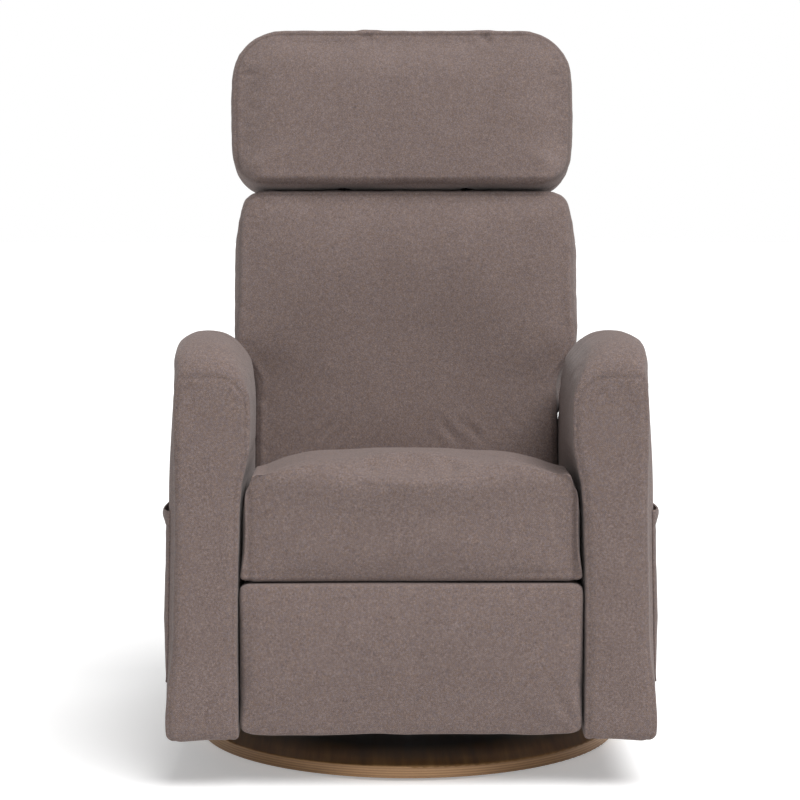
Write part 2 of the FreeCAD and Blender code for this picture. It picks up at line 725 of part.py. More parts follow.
def arm_pad():
    """Upholstered arm around its panel, with passages for the rail's lugs and the stretcher."""
    nose = ARM_CREST_Y - ARM_FRONT_Y
    quarter = math.pi / 2
    stations = [ARM_CREST_Y - nose * math.cos(quarter * i / ARM_NOSE_STEPS) for i in range(ARM_NOSE_STEPS)]
    fall = ARM_REAR_Y - ARM_CREST_Y
    stations.extend(ARM_CREST_Y + fall * i / ARM_FALL_STEPS for i in range(ARM_FALL_STEPS + 1))
    pad = Part.makeLoft([arm_section(y) for y in stations], True, True)
    pad = pad.cut(arm_panel_plate(SOFT_CLEAR))
    inner = (ARM_BULGE_X, ARM_PANEL_X)
    for y in (LUG_FRONT_Y, LUG_REAR_Y):
        pad = pad.cut(rod(LUG_D / 2 + SOFT_CLEAR, inner, y, LUG_Z))
    y, z = stretcher_limits(SOFT_CLEAR)
    return pad.cut(box(inner, y, z))


def side_pocket():
    """Fabric pocket on the arm's outer face, open at its top edge."""
    low = arm_out(POCKET_BOTTOM) + SOFT_CLEAR
    high = arm_out(POCKET_TOP) + SOFT_CLEAR
    outer = [(low, POCKET_BOTTOM, 0), (low + POCKET_GAP_LOW + POCKET_T, POCKET_BOTTOM, POCKET_T),
             (high + POCKET_GAP_TOP + POCKET_T, POCKET_TOP, 0), (high, POCKET_TOP, 0)]
    floor = POCKET_BOTTOM + POCKET_T
    rise = (POCKET_TOP - floor) / (POCKET_TOP - POCKET_BOTTOM)
    gap = POCKET_GAP_TOP + (POCKET_GAP_LOW - POCKET_GAP_TOP) * rise
    inside = arm_out(floor) + SOFT_CLEAR
    hollow = [(inside, floor, 0), (inside + gap, floor, 0), (high + POCKET_GAP_TOP, POCKET_TOP, 0),
              (high, POCKET_TOP, 0)]
    shell = front_slab(outer, (POCKET_FRONT_Y, POCKET_REAR_Y))
    return shell.cut(front_slab(hollow, (POCKET_FRONT_Y + POCKET_T, POCKET_REAR_Y - POCKET_T)))


def front_stretcher():
    y, z = stretcher_limits(0.0)
    return box((-ARM_PANEL_X, ARM_PANEL_X), y, z)


def rear_apron():
    """Upholstered board that closes the rear between the arms, below the back."""
    half = ARM_IN_X - SOFT_CLEAR
    board = box((-half, half), (APRON_Y, APRON_Y + APRON_T), (APRON_BOTTOM, APRON_TOP))
    rear = edges_at(board, lambda p: near(p.y, APRON_Y + APRON_T))
    return board.makeFillet(APRON_R, rear)


# Seat

def seat_link_end(y):
    """Upper pivot of a seat link that stands at one Y."""
    lean = math.radians(SEAT_LINK_LEAN)
    return (y + SEAT_LINK_L * math.sin(lean), SEAT_LINK_Z + SEAT_LINK_L * math.cos(lean))


def seat_link_pair(y):
    """Left and right seat links, each with its lower pin in the base rail and upper pin in the seat rail."""
    x = (SEAT_LINK_OUT - LINK_T, SEAT_LINK_OUT)
    top = seat_link_end(y)
    link = band_plate([(y, SEAT_LINK_Z), top], LINK_R, x)
    low_pin = rod(PIN_R, (x[1], BASE_RAIL_OUT), y, SEAT_LINK_Z)
    top_pin = rod(PIN_R, (SEAT_RAIL_IN, x[0]), top[0], top[1])
    link = link.fuse([low_pin, top_pin]).removeSplitter()
    return Part.makeCompound([link, mirrored(link)])


def seat_rail():
    """Seat side rail with a wide top flange and a rear ear for the back's hinge."""
    x = (SEAT_RAIL_IN, SEAT_RAIL_OUT)
    flange_end = SEAT_REAR_BOARD_Y + BOARD_T
    corners = [(SEAT_RAIL_FRONT_Y, SEAT_RAIL_BOTTOM, RAIL_CORNER_R),
               (SEAT_RAIL_REAR_Y, SEAT_RAIL_BOTTOM, RAIL_CORNER_R), (SEAT_RAIL_REAR_Y, EAR_ROOT_Z, 0),
               (flange_end, SEAT_RAIL_TOP, 0), (SEAT_RAIL_FRONT_Y, SEAT_RAIL_TOP, 0)]
    web = side_plate(corners, x)
    ear = band_plate([(BACK_HINGE_Y, BACK_HINGE_Z), (EAR_ROOT_Y, EAR_ROOT_Z),
                      (EAR_ROOT_Y, SEAT_RAIL_BOTTOM + HINGE_R)], HINGE_R, x)
    flange = box((SEAT_RAIL_IN - SEAT_FLANGE_W, SEAT_RAIL_IN), (SEAT_RAIL_FRONT_Y, flange_end),
                 (SEAT_BOARD_TOP, SEAT_RAIL_TOP))
    rail = web.fuse([ear, flange])
    bores = [yz(DRIVE_PIVOT), yz(REAR_PIVOT), (BACK_HINGE_Y, BACK_HINGE_Z)]
    bores.extend(seat_link_end(y) for y in (SEAT_LINK_FRONT_Y, SEAT_LINK_REAR_Y))
    for y, z in bores:
        rail = rail.cut(rod(HOLE_R, x, y, z))
    return rail.removeSplitter()


def seat_board(y, z):
    return box((-SEAT_BOARD_X, SEAT_BOARD_X), (y, y + BOARD_T), (z, SEAT_BOARD_TOP))


def seat_webbing():
    """Elastic straps stretched from the front board to the rear board."""
    pitch = STRAP_W + STRAP_GAP
    room = 2 * (SEAT_RAIL_IN - SEAT_FLANGE_W - STRAP_SIDE_GAP)
    count = int((room + STRAP_GAP) // pitch)
    first = -pitch * (count - 1) / 2
    y = (SEAT_RAIL_FRONT_Y, SEAT_REAR_BOARD_Y + BOARD_T)
    z = (SEAT_BOARD_TOP, SEAT_BOARD_TOP + STRAP_T)
    centres = [first + pitch * i for i in range(count)]
    return Part.makeCompound([box((x - STRAP_W / 2, x + STRAP_W / 2), y, z) for x in centres])


def back_face_y(z, n):
    """Y of a plane parallel to the back, N ahead of its pivot, at one height."""
    tilt = math.radians(BACK_TILT)
    return BACK_HINGE_Y - n / math.cos(tilt) + (z - BACK_HINGE_Z) * math.tan(tilt)


def seat_cushion():
    """Crowned cushion with a waterfall front, cut along the back's slope at the rear."""
    half = SEAT_HALF_W
    rear_n = BACK_FRONT_N + SEAT_BACK_GAP
    rear_low = back_face_y(SEAT_BOTTOM, rear_n)
    rear_top = back_face_y(SEAT_REAR_TOP_Z, rear_n)
    side = [V(-half, SEAT_FRONT_Y, SEAT_SIDE_Z), V(-half, SEAT_FRONT_Y, SEAT_BOTTOM)]
    shoulder = half - SEAT_CORNER_R
    slant = SEAT_CORNER_R * (1 - math.sqrt(0.5))
    edge_z = SEAT_SIDE_Z + SEAT_CORNER_R
    edges = [Part.makeLine(side[0], side[1]), Part.makeLine(side[1], V(half, SEAT_FRONT_Y, SEAT_BOTTOM)),
             Part.makeLine(V(half, SEAT_FRONT_Y, SEAT_BOTTOM), V(half, SEAT_FRONT_Y, SEAT_SIDE_Z)),
             Part.Arc(V(half, SEAT_FRONT_Y, SEAT_SIDE_Z), V(half - slant, SEAT_FRONT_Y, edge_z - slant),
                      V(shoulder, SEAT_FRONT_Y, edge_z)).toShape(),
             Part.Arc(V(shoulder, SEAT_FRONT_Y, edge_z), V(0, SEAT_FRONT_Y, SEAT_CROWN_Z),
                      V(-shoulder, SEAT_FRONT_Y, edge_z)).toShape(),
             Part.Arc(V(-shoulder, SEAT_FRONT_Y, edge_z), V(slant - half, SEAT_FRONT_Y, edge_z - slant),
                      side[0]).toShape()]
    block = Part.Face(Part.Wire(edges)).extrude(V(0, rear_top - SEAT_FRONT_Y, 0))
    profile = [(SEAT_FRONT_Y, SEAT_BOTTOM, SEAT_LOW_R), (rear_low, SEAT_BOTTOM, 0),
               (rear_top, SEAT_REAR_TOP_Z, SEAT_LOW_R),
               (SEAT_FRONT_Y, SEAT_CROWN_Z + SEAT_LOW_R, SEAT_FRONT_R)]
    return block.common(side_plate(profile, (-half, half)))


# Footrest linkage

def bored_link(ring, holes, x):
    """Link plate with bores: each hole is a pivot and a radius."""
    link = band_plate([yz(pivot) for pivot in ring], LINK_R, x)
    for pivot, radius in holes:
        link = link.cut(rod(radius, x, *yz(pivot)))
    return link


def footrest_drive_link():
    """Innermost plate on the drive pivot, with pins for the outer and inner links."""
    x = layer(3)
    link = bored_link([DRIVE_PIVOT, OUTER_PIVOT, INNER_PIVOT], [], x)
    arm = bored_link([DRIVE_PIVOT, INNER_PIVOT, TUBE_PIVOT], [], x)
    pins = [rod(PIN_R, (x[1], SEAT_RAIL_OUT), *yz(DRIVE_PIVOT)),
            rod(PIN_R, (x[1], layer(2)[1]), *yz(OUTER_PIVOT)),
            rod(PIN_R, (layer(4)[0], x[0]), *yz(INNER_PIVOT))]
    return link.fuse([arm] + pins).removeSplitter()


def footrest_cross_tube():
    """Torque tube that keeps the two drive links in step."""
    end = layer(3)[0]
    tube = rod(TUBE_D / 2, (-end, end), *yz(TUBE_PIVOT))
    return tube.cut(rod(TUBE_D / 2 - BAR_WALL, (-end, end), *yz(TUBE_PIVOT)))


def footrest_rear_links():
    x = layer(1)
    link = bored_link([REAR_PIVOT, REAR_END], [], x)
    pivot_pin = rod(PIN_R, (x[1], SEAT_RAIL_OUT), *yz(REAR_PIVOT))
    tail_pin = rod(PIN_R, (layer(2)[0], x[0]), *yz(REAR_END))
    link = link.fuse([pivot_pin, tail_pin]).removeSplitter()
    return Part.makeCompound([link, mirrored(link)])


def footrest_outer_link():
    """Long scissor link, bent at the drive link's pin."""
    x = layer(2)
    holes = [(OUTER_PIVOT, HOLE_R), (TAIL_PIVOT, OPEN_R)]
    link = bored_link([OUTER_PIVOT, BOARD_PIVOT], [], x).fuse(bored_link([OUTER_PIVOT, TAIL_PIVOT], [], x))
    for pivot, radius in holes:
        link = link.cut(rod(radius, x, *yz(pivot)))
    return link.fuse(rod(PIN_R, (layer(3)[0], x[0]), *yz(BOARD_PIVOT))).removeSplitter()


def footrest_inner_links():
    x = layer(4)
    link = bored_link([INNER_PIVOT, INNER_END], [(INNER_PIVOT, HOLE_R)], x)
    link = link.fuse(rod(PIN_R, (x[1], layer(3)[1]), *yz(INNER_END))).removeSplitter()
    return Part.makeCompound([link, mirrored(link)])


def footrest_bracket():
    """Angle bracket that carries the footrest board on the outer and inner links."""
    x = layer(3)
    heel = (BOARD_PIVOT[0] + BRACKET_BACK_GAP, BRACKET_END[1])
    holes = [(BOARD_PIVOT, HOLE_R), (BRACKET_END, OPEN_R)]
    plate = bored_link([BOARD_PIVOT, BRACKET_END, heel], holes, x)
    flange = box((x[0] - BRACKET_FLANGE_W, x[1]), (FOOT_BOARD_BACK_Y, FOOT_BOARD_BACK_Y + BRACKET_FLANGE_T),
                 (BOARD_PIVOT[1] + LINK_R, BRACKET_END[1]))
    return plate.fuse(flange).removeSplitter()


def footrest_board():
    half = FOOT_HALF_W - FOOT_BOARD_INSET
    low = FOOT_BOTTOM + FOOT_BOARD_INSET
    high = FOOT_TOP - FOOT_BOARD_INSET
    corners = [(-half, low, FOOT_CORNER_R), (half, low, FOOT_CORNER_R),
               (half, high, FOOT_CORNER_R), (-half, high, FOOT_CORNER_R)]
    return front_slab(corners, (FOOT_BOARD_FRONT_Y, FOOT_BOARD_BACK_Y))


def footrest_pad():
    corners = [(-FOOT_HALF_W, FOOT_BOTTOM, FOOT_CORNER_R), (FOOT_HALF_W, FOOT_BOTTOM, FOOT_CORNER_R),
               (FOOT_HALF_W, FOOT_TOP, FOOT_CORNER_R), (-FOOT_HALF_W, FOOT_TOP, FOOT_CORNER_R)]
    pad = front_slab(corners, (FOOT_FRONT_Y, FOOT_BOARD_FRONT_Y - SOFT_CLEAR))
    return pad.makeFillet(FOOT_EDGE_R, edges_at(pad, lambda p: near(p.y, FOOT_FRONT_Y)))


# Back and headrest are drawn upright, then leaned about the back's pivot

def lean(shape):
    shape.rotate(BACK_HINGE, X_AXIS, -BACK_TILT)
    return shape


def n_to_y(limits):
    """Y limits of an upright slab between two N limits, rear one first."""
    return (BACK_HINGE_Y - limits[1], BACK_HINGE_Y - limits[0])


def up(t):
    return BACK_HINGE_Z + t


def back_box(x, n, t):
    return box(x, n_to_y(n), (up(t[0]), up(t[1])))


def back_slab(corners, n):
    """Slab across the back with a rounded outline in (x, T)."""
    return front_slab([(x, up(t), r) for x, t, r in corners], n_to_y(n))


def back_plate(corners, x):
    """Plate in the back's side plane with a rounded outline in (N, T)."""
    return side_plate([(BACK_HINGE_Y - n, up(t), r) for n, t, r in corners], x)


def both_sides(half):
    """Outline closed by the mirror image of its right half."""
    return half + [(-x, t, r) for x, t, r in reversed(half)]


def back_outline(inset):
    """Narrow between the arms, wider above them."""
    low = BACK_LOW_HALF_W - inset
    wide = BACK_HALF_W - inset
    half = [(low, BACK_BOTTOM_T, 0 if inset else BACK_LOW_R), (low, BACK_STEP_LOW_T, BACK_STEP_R),
            (wide, BACK_STEP_TOP_T, BACK_STEP_R), (wide, BACK_TOP_T - inset, BACK_TOP_R - inset)]
    return both_sides(half)


def front_edges(shape, n):
    return edges_at(shape, lambda p: near(p.y, BACK_HINGE_Y - n))


def back_cushion():
    slab = back_slab(back_outline(0), (BACK_CUSHION_N, BACK_FRONT_N))
    return lean(slab.makeFillet(BACK_EDGE_R, front_edges(slab, BACK_FRONT_N)))


def back_cover():
    """Upholstered tray that closes the back's frame behind the cushion, open at its foot."""
    slab = back_slab(back_outline(0), (BACK_REAR_N, BACK_STRAP_N))
    slab = slab.makeFillet(COVER_EDGE_R, front_edges(slab, BACK_REAR_N))
    cover = slab.cut(back_slab(back_outline(COVER_WALL), (BACK_REAR_N + COVER_WALL, BACK_STRAP_N)))
    leg = leaf_leg_n()
    for x in leaf_spans(LEAF_X, LEAF_ROOM / 2):
        cover = cover.cut(back_box(x, (leg[0] - LEAF_ROOM, leg[1] + LEAF_ROOM),
                                   (BACK_TOP_T - 2 * COVER_WALL, BACK_TOP_T)))
    return lean(cover)


def frame_n():
    return (BACK_FRAME_N - BACK_FRAME_T, BACK_FRAME_N)


def back_post():
    """Plywood upright that widens above the arms."""
    foot = BACK_BOTTOM_T + POST_FOOT_GAP
    corners = [(POST_IN_X, foot, 0), (POST_OUT_X, foot, 0), (POST_OUT_X, POST_NECK_T, RAIL_CORNER_R),
               (POST_WING_X, POST_STEP_T, RAIL_CORNER_R),
               (POST_WING_X, POST_TOP_T, BACK_TOP_R - POST_TOP_GAP), (POST_IN_X, POST_TOP_T, 0)]
    return lean(back_slab(corners, frame_n()))


def back_rail(t):
    return lean(back_box((-POST_IN_X, POST_IN_X), frame_n(), (t, t + RAIL_H)))


def back_webbing():
    """Elastic straps across the posts."""
    straps = []
    for i in range(BACK_STRAPS):
        t = BACK_STRAP_FIRST_T + BACK_STRAP_PITCH * i
        straps.append(lean(back_box((-POST_OUT_X, POST_OUT_X), (BACK_FRAME_N, BACK_STRAP_N),
                                    (t - STRAP_W / 2, t + STRAP_W / 2))))
    return Part.makeCompound(straps)


def back_hinge():
    """Steel plate on the post's outer face that turns on a pin in the seat rail's ear."""
    x = (POST_OUT_X, POST_OUT_X + LINK_T)
    rear, front = frame_n()
    foot = BACK_BOTTOM_T - POST_FOOT_GAP
    leg = [(rear, -HINGE_R, RAIL_CORNER_R), (front, -HINGE_R, 0), (front, HINGE_LEG_T, RAIL_CORNER_R),
           (rear, HINGE_LEG_T, RAIL_CORNER_R)]
    toe = [(front, -HINGE_R, 0), (HINGE_R, -HINGE_R, HINGE_R - ROUND_TRIM),
           (HINGE_R, HINGE_R, HINGE_R - ROUND_TRIM), (front, foot, 0)]
    pin = rod(PIN_R, (x[1], SEAT_RAIL_OUT), BACK_HINGE_Y, BACK_HINGE_Z)
    return lean(back_plate(leg, x).fuse([back_plate(toe, x), pin]).removeSplitter())


def leaf_spans(start, grow):
    """X limits of the hinge leaf on both sides of the chair."""
    span = (start - grow, start + LEAF_T + grow)
    return [span, (-span[1], -span[0])]


def leaf_leg_n():
    """N limits of the lower leaf's upright leg, in the middle of the top rail."""
    centre = BACK_FRAME_N - BACK_FRAME_T / 2
    return (centre - LEAF_W / 2, centre + LEAF_W / 2)


def leaf_plate(x, low, leg, n_front):
    """Cranked leaf: upright leg and an arm forward to the headrest's pivot."""
    half = LEAF_W / 2
    high = HEAD_PIVOT_T + half
    outline = [(leg[0], low, 0), (leg[1], low, 0), (leg[1], HEAD_PIVOT_T - half, 0),
               (n_front, HEAD_PIVOT_T - half, half - ROUND_TRIM),
               (n_front, high, half - ROUND_TRIM), (leg[0], high, 0)]
    return back_plate(outline, x)


def headrest_hinge_lower():
    """Strip on the back's top rail with two cranked leaves."""
    leg = leaf_leg_n()
    base = POST_TOP_T + LEAF_STRIP_T
    part = back_box((-LEAF_STRIP_X, LEAF_STRIP_X), frame_n(), (POST_TOP_T, base))
    for x in leaf_spans(LEAF_X, 0):
        part = part.fuse(leaf_plate(x, base, leg, HEAD_PIVOT_N + LEAF_W / 2))
        part = part.cut(rod(HOLE_R, x, BACK_HINGE_Y - HEAD_PIVOT_N, up(HEAD_PIVOT_T)))
    return lean(part.removeSplitter())


def headrest_hinge_upper():
    """Strip on the headrest's board with two leaves and their pins."""
    start = LEAF_X + LEAF_T + LEAF_GAP
    strip_n = (HEAD_BOARD_BACK_N - LEAF_STRIP_T, HEAD_BOARD_BACK_N)
    board_t = HEAD_BOTTOM_T + HEAD_BOARD_LOW
    part = back_box((-LEAF_STRIP_X, LEAF_STRIP_X), strip_n, (board_t, board_t + UPPER_STRIP_H))
    leg = (strip_n[0] - LEAF_W / 2, strip_n[0])
    half = LEAF_W / 2
    front = HEAD_PIVOT_N + half
    for x in leaf_spans(start, 0):
        arm = [(leg[0], HEAD_PIVOT_T - half, 0), (front, HEAD_PIVOT_T - half, half - ROUND_TRIM),
               (front, HEAD_PIVOT_T + half, half - ROUND_TRIM), (leg[1], HEAD_PIVOT_T + half, 0),
               (leg[1], board_t + UPPER_STRIP_H, 0), (leg[0], board_t + UPPER_STRIP_H, 0)]
        part = part.fuse(back_plate(arm, x))
    for x in ((LEAF_X, start), (-start, -LEAF_X)):
        part = part.fuse(rod(PIN_R, x, BACK_HINGE_Y - HEAD_PIVOT_N, up(HEAD_PIVOT_T)))
    return lean(part.removeSplitter())


def headrest_outline(inset):
    wide = HEAD_HALF_W - inset
    half = [(wide, HEAD_BOTTOM_T + inset, HEAD_LOW_R - inset), (wide, HEAD_TOP_T - inset, HEAD_TOP_R - inset)]
    return both_sides(half)


def leaf_room(n, t):
    """Slots in the headrest that the leaves swing in."""
    span = (LEAF_X - LEAF_ROOM, LEAF_X + 2 * LEAF_T + LEAF_GAP + LEAF_ROOM)
    return [back_box(x, n, t) for x in (span, (-span[1], -span[0]))]


def headrest_cushion():
    slab = back_slab(headrest_outline(0), (HEAD_SPLIT_N, HEAD_FRONT_N))
    slab = slab.makeFillet(HEAD_EDGE_R, front_edges(slab, HEAD_FRONT_N))
    top = HEAD_PIVOT_T + LEAF_W / 2 + LEAF_ROOM
    front = HEAD_PIVOT_N + LEAF_W / 2 + LEAF_ROOM
    rooms = leaf_room((HEAD_SPLIT_N, LEAF_SKIN_N), (HEAD_BOTTOM_T, top))
    rooms.extend(leaf_room((LEAF_SKIN_N, front), (HEAD_PIVOT_T - LEAF_SKIN_T, top)))
    return lean(slab.cut(rooms))


def headrest_cover():
    """Upholstered tray behind the headrest's board, slotted underneath for the leaves."""
    slab = back_slab(headrest_outline(0), (HEAD_REAR_N, HEAD_BOARD_N))
    slab = slab.makeFillet(COVER_EDGE_R, front_edges(slab, HEAD_REAR_N))
    hollow = back_slab(headrest_outline(HEAD_COVER_WALL), (HEAD_REAR_N + HEAD_COVER_WALL, HEAD_BOARD_N))
    rooms = leaf_room((HEAD_REAR_N + HEAD_COVER_WALL, HEAD_BOARD_N), (HEAD_BOTTOM_T, HEAD_PIVOT_T))
    return lean(slab.cut([hollow] + rooms))


def headrest_board():
    wide = HEAD_HALF_W - HEAD_BOARD_INSET
    low = HEAD_BOTTOM_T + HEAD_BOARD_LOW
    high = HEAD_TOP_T - HEAD_BOARD_INSET
    outline = both_sides([(wide, low, RAIL_CORNER_R), (wide, high, RAIL_CORNER_R)])
    return lean(back_slab(outline, (HEAD_BOARD_BACK_N, HEAD_BOARD_N)))


SINGLE = {
    "base_disc": drilled_base,
    "floor_glides": floor_glides,
    "bearing_lower_race": bearing_lower_race,
    "base_bolts": base_bolts,
    "bearing_balls": bearing_balls,
    "bearing_upper_race": bearing_upper_race,
    "swivel_plate": swivel_plate,
    "swivel_bolts": swivel_bolts,
    "rocker_bushes": rocker_bushes,
    "rocker_axle": rocker_axle,
    "rocker_springs": rocker_springs,
    "cross_bar_front": lambda: cross_bar(-SPRING_Y),
    "cross_bar_rear": lambda: cross_bar(SPRING_Y),
    "arm_bolts": arm_bolts,
    "front_stretcher": front_stretcher,
    "rear_apron": rear_apron,
    "seat_front_links": lambda: seat_link_pair(SEAT_LINK_FRONT_Y),
    "seat_rear_links": lambda: seat_link_pair(SEAT_LINK_REAR_Y),
    "seat_front_board": lambda: seat_board(SEAT_RAIL_FRONT_Y, SEAT_FRONT_BOARD_Z),
    "seat_rear_board": lambda: seat_board(SEAT_REAR_BOARD_Y, SEAT_REAR_BOARD_Z),
    "seat_webbing": seat_webbing,
    "seat_cushion": seat_cushion,
    "footrest_cross_tube": footrest_cross_tube,
    "footrest_rear_links": footrest_rear_links,
    "footrest_inner_links": footrest_inner_links,
    "footrest_board": footrest_board,
    "footrest_pad": footrest_pad,
    "back_top_rail": lambda: back_rail(POST_TOP_T - RAIL_H),
    "back_bottom_rail": lambda: back_rail(BACK_BOTTOM_T + POST_FOOT_GAP),
    "back_webbing": back_webbing,
    "back_cushion": back_cushion,
    "back_cover": back_cover,
    "headrest_hinge_lower": headrest_hinge_lower,
    "headrest_hinge_upper": headrest_hinge_upper,
    "headrest_cushion": headrest_cushion,
    "headrest_cover": headrest_cover,
    "headrest_board": headrest_board,
}

PAIRED = {
    "rocker_bracket": rocker_bracket,
    "base_rail": base_rail,
    "arm_panel": arm_panel,
    "arm_pad": arm_pad,
    "side_pocket": side_pocket,
    "seat_rail": seat_rail,
    "footrest_drive_link": footrest_drive_link,
    "footrest_outer_link": footrest_outer_link,
    "footrest_bracket": footrest_bracket,
    "back_post": back_post,
    "back_hinge": back_hinge,
}


def main():
    os.makedirs("parts", exist_ok=True)
    for name, make in SINGLE.items():
        make().exportStep("parts/" + name + ".step")
    for name, make in PAIRED.items():
        left = make()
        left.exportStep("parts/" + name + "_left.step")
        mirrored(left).exportStep("parts/" + name + "_right.step")


main()
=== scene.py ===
import json
import math

import bmesh
import bpy
import numpy as np
from mathutils import Matrix, Vector
from mathutils.bvhtree import BVHTree


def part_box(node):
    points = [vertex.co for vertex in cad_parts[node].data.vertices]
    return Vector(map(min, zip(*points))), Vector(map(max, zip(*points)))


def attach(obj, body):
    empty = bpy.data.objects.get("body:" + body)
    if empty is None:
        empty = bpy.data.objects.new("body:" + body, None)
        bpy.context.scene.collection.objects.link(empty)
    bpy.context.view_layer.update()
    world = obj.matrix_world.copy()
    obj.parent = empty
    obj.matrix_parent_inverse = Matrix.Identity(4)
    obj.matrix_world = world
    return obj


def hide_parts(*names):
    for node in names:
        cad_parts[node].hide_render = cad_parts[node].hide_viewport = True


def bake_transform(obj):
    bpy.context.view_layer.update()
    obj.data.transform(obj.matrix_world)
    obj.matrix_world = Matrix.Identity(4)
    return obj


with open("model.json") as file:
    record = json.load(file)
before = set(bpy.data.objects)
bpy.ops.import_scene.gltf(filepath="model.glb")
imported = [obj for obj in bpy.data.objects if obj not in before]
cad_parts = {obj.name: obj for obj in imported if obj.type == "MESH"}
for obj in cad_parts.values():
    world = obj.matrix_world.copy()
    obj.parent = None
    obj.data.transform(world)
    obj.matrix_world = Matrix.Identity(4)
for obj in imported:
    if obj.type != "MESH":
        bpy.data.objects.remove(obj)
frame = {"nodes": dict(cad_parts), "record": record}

scene = bpy.context.scene
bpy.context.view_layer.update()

# Lengths are in metres. The back and headrest are drawn upright and then leaned about the back's foot
BACK_FOOT = (0.0, 0.110, 0.300)
BACK_LEAN = math.radians(-12)
BACK_PLACE = Matrix.Translation(BACK_FOOT) @ Matrix.Rotation(BACK_LEAN, 4, "X")

# Camera that took the photograph, the window light and the room
CAMERA_LENS = 99.84
CAMERA_SENSOR = 36.0
CAMERA_PLACE = (-0.0505, -3.3996, 0.8390)
CAMERA_TURN = (math.radians(84.521), 0.0, math.radians(-0.65))
WINDOW_STRENGTH = 3.1
WINDOW_SPREAD = math.radians(42)
WINDOW_PLACE = (0.85, -1.15, 2.6)
WHITE = (1.0, 1.0, 1.0, 1.0)
ROOM_STRENGTH = 0.26
ROOM_SEEN_STRENGTH = 1.0
FLOOR_GLOW = 0.32
FLOOR_HALF_WIDTH = 30.0

# Cloth skins, their air and their seams
SKIN_STEP = 0.006
AIR_STEPS = 20
AIR_LIMIT = 0.026
SEAM_HALF = 0.0032
# Half width of the shade painted along a seam
SEAM_SHADE_HALF = 0.0021
SEAM_HOLD_HALF = 0.004
NO_SEAM = 0.05

# Points of the solids closer than this are one point, and levels closer than this are one level
WELD = 2e-5
SAME_LEVEL = 1e-5


# Camera, light and floor

def aim(holder, target):
    """Turns a lamp so that it shines at a point."""
    way = Vector(target) - holder.location
    holder.rotation_euler = way.to_track_quat("-Z", "Y").to_euler()


def put(name, data):
    """An object at the origin, in the scene."""
    holder = bpy.data.objects.new(name, data)
    scene.collection.objects.link(holder)
    return holder


def set_camera():
    lens = bpy.data.cameras.new("photo_camera")
    lens.lens = CAMERA_LENS
    lens.sensor_width = CAMERA_SENSOR
    camera = put("photo_camera", lens)
    camera.location = CAMERA_PLACE
    camera.rotation_euler = CAMERA_TURN
    scene.camera = camera


def set_light():
    """A broad window light, in a room that is white to look at and dimmer as a light."""
    sun = bpy.data.lights.new("window_light", "SUN")
    sun.energy = WINDOW_STRENGTH
    sun.angle = WINDOW_SPREAD
    lamp = put("window_light", sun)
    lamp.location = WINDOW_PLACE
    aim(lamp, (0.0, 0.0, 0.0))
    room = bpy.data.worlds.new("white_room")
    room.use_nodes = True
    wiring = Wiring(room.node_tree)
    dim = wiring.tree.nodes["Background"]
    wiring.feed(dim, {"Color": WHITE, "Strength": ROOM_STRENGTH})
    bright = wiring.node("ShaderNodeBackground", None, {"Color": WHITE, "Strength": ROOM_SEEN_STRENGTH})
    sockets = {0: wiring.in_view(), 1: Reading(wiring, dim.outputs[0]), 2: bright}
    shown = wiring.node("ShaderNodeMixShader", None, sockets)
    wiring.feed(wiring.tree.nodes["World Output"], {"Surface": shown})
    scene.world = room
    scene.view_settings.view_transform = "Standard"


# Finishes

class Reading:
    """A value read over a surface or along a ray; arithmetic on it adds Math nodes."""

    def __init__(self, wiring, socket):
        self.wiring = wiring
        self.socket = socket

    def math(self, operation, first, second=0.0):
        return self.wiring.node("ShaderNodeMath", {"operation": operation}, {0: first, 1: second})

    def __add__(self, other):
        return self.math("ADD", self, other)

    __radd__ = __add__

    def __sub__(self, other):
        return self.math("SUBTRACT", self, other)

    def __rsub__(self, other):
        return self.math("SUBTRACT", other, self)

    def __mul__(self, other):
        return self.math("MULTIPLY", self, other)

    __rmul__ = __mul__

    def __truediv__(self, other):
        return self.math("DIVIDE", self, other)

    def __rtruediv__(self, other):
        return self.math("DIVIDE", other, self)

    def __pow__(self, other):
        return self.math("POWER", self, other)

    def __abs__(self):
        return self.math("ABSOLUTE", self)

    def sine(self):
        return self.math("SINE", self)

    def wave(self, pitch):
        """Sine of a length that repeats at a pitch."""
        return (self * (math.tau / pitch)).sine()

    def fraction(self):
        return self.math("FRACT", self)

    def over(self, limit):
        return self.math("GREATER_THAN", self, limit)


class Wiring:
    """The nodes of a material or of the room, made and joined one at a time."""

    def __init__(self, tree):
        self.tree = tree

    def node(self, kind, settings=None, sockets=None, out=0):
        fresh = self.tree.nodes.new(kind)
        for key, value in (settings or {}).items():
            if key == "stops":
                self.set_stops(fresh.color_ramp, value)
            else:
                setattr(fresh, key, value)
        self.feed(fresh, sockets or {})
        return Reading(self, fresh.outputs[out])

    def set_stops(self, ramp, stops):
        while len(ramp.elements) < len(stops):
            ramp.elements.new(0.5)
        for element, (place, colour) in zip(ramp.elements, stops):
            element.position = place
            element.color = (*colour, 1.0)

    def feed(self, target, sockets):
        for key, value in sockets.items():
            if isinstance(value, Reading):
                self.tree.links.new(value.socket, target.inputs[key])
            else:
                target.inputs[key].default_value = value

    def in_view(self):
        """1 for what is seen, straight, mirrored or through glass, and 0 for what only gives light."""
        rays = self.node("ShaderNodeLightPath").socket.node.outputs
        straight, mirrored, through = [Reading(self, rays["Is %s Ray" % kind])
                                       for kind in ("Camera", "Glossy", "Transmission")]
        return straight.math("MAXIMUM", straight.math("MAXIMUM", straight, mirrored), through)


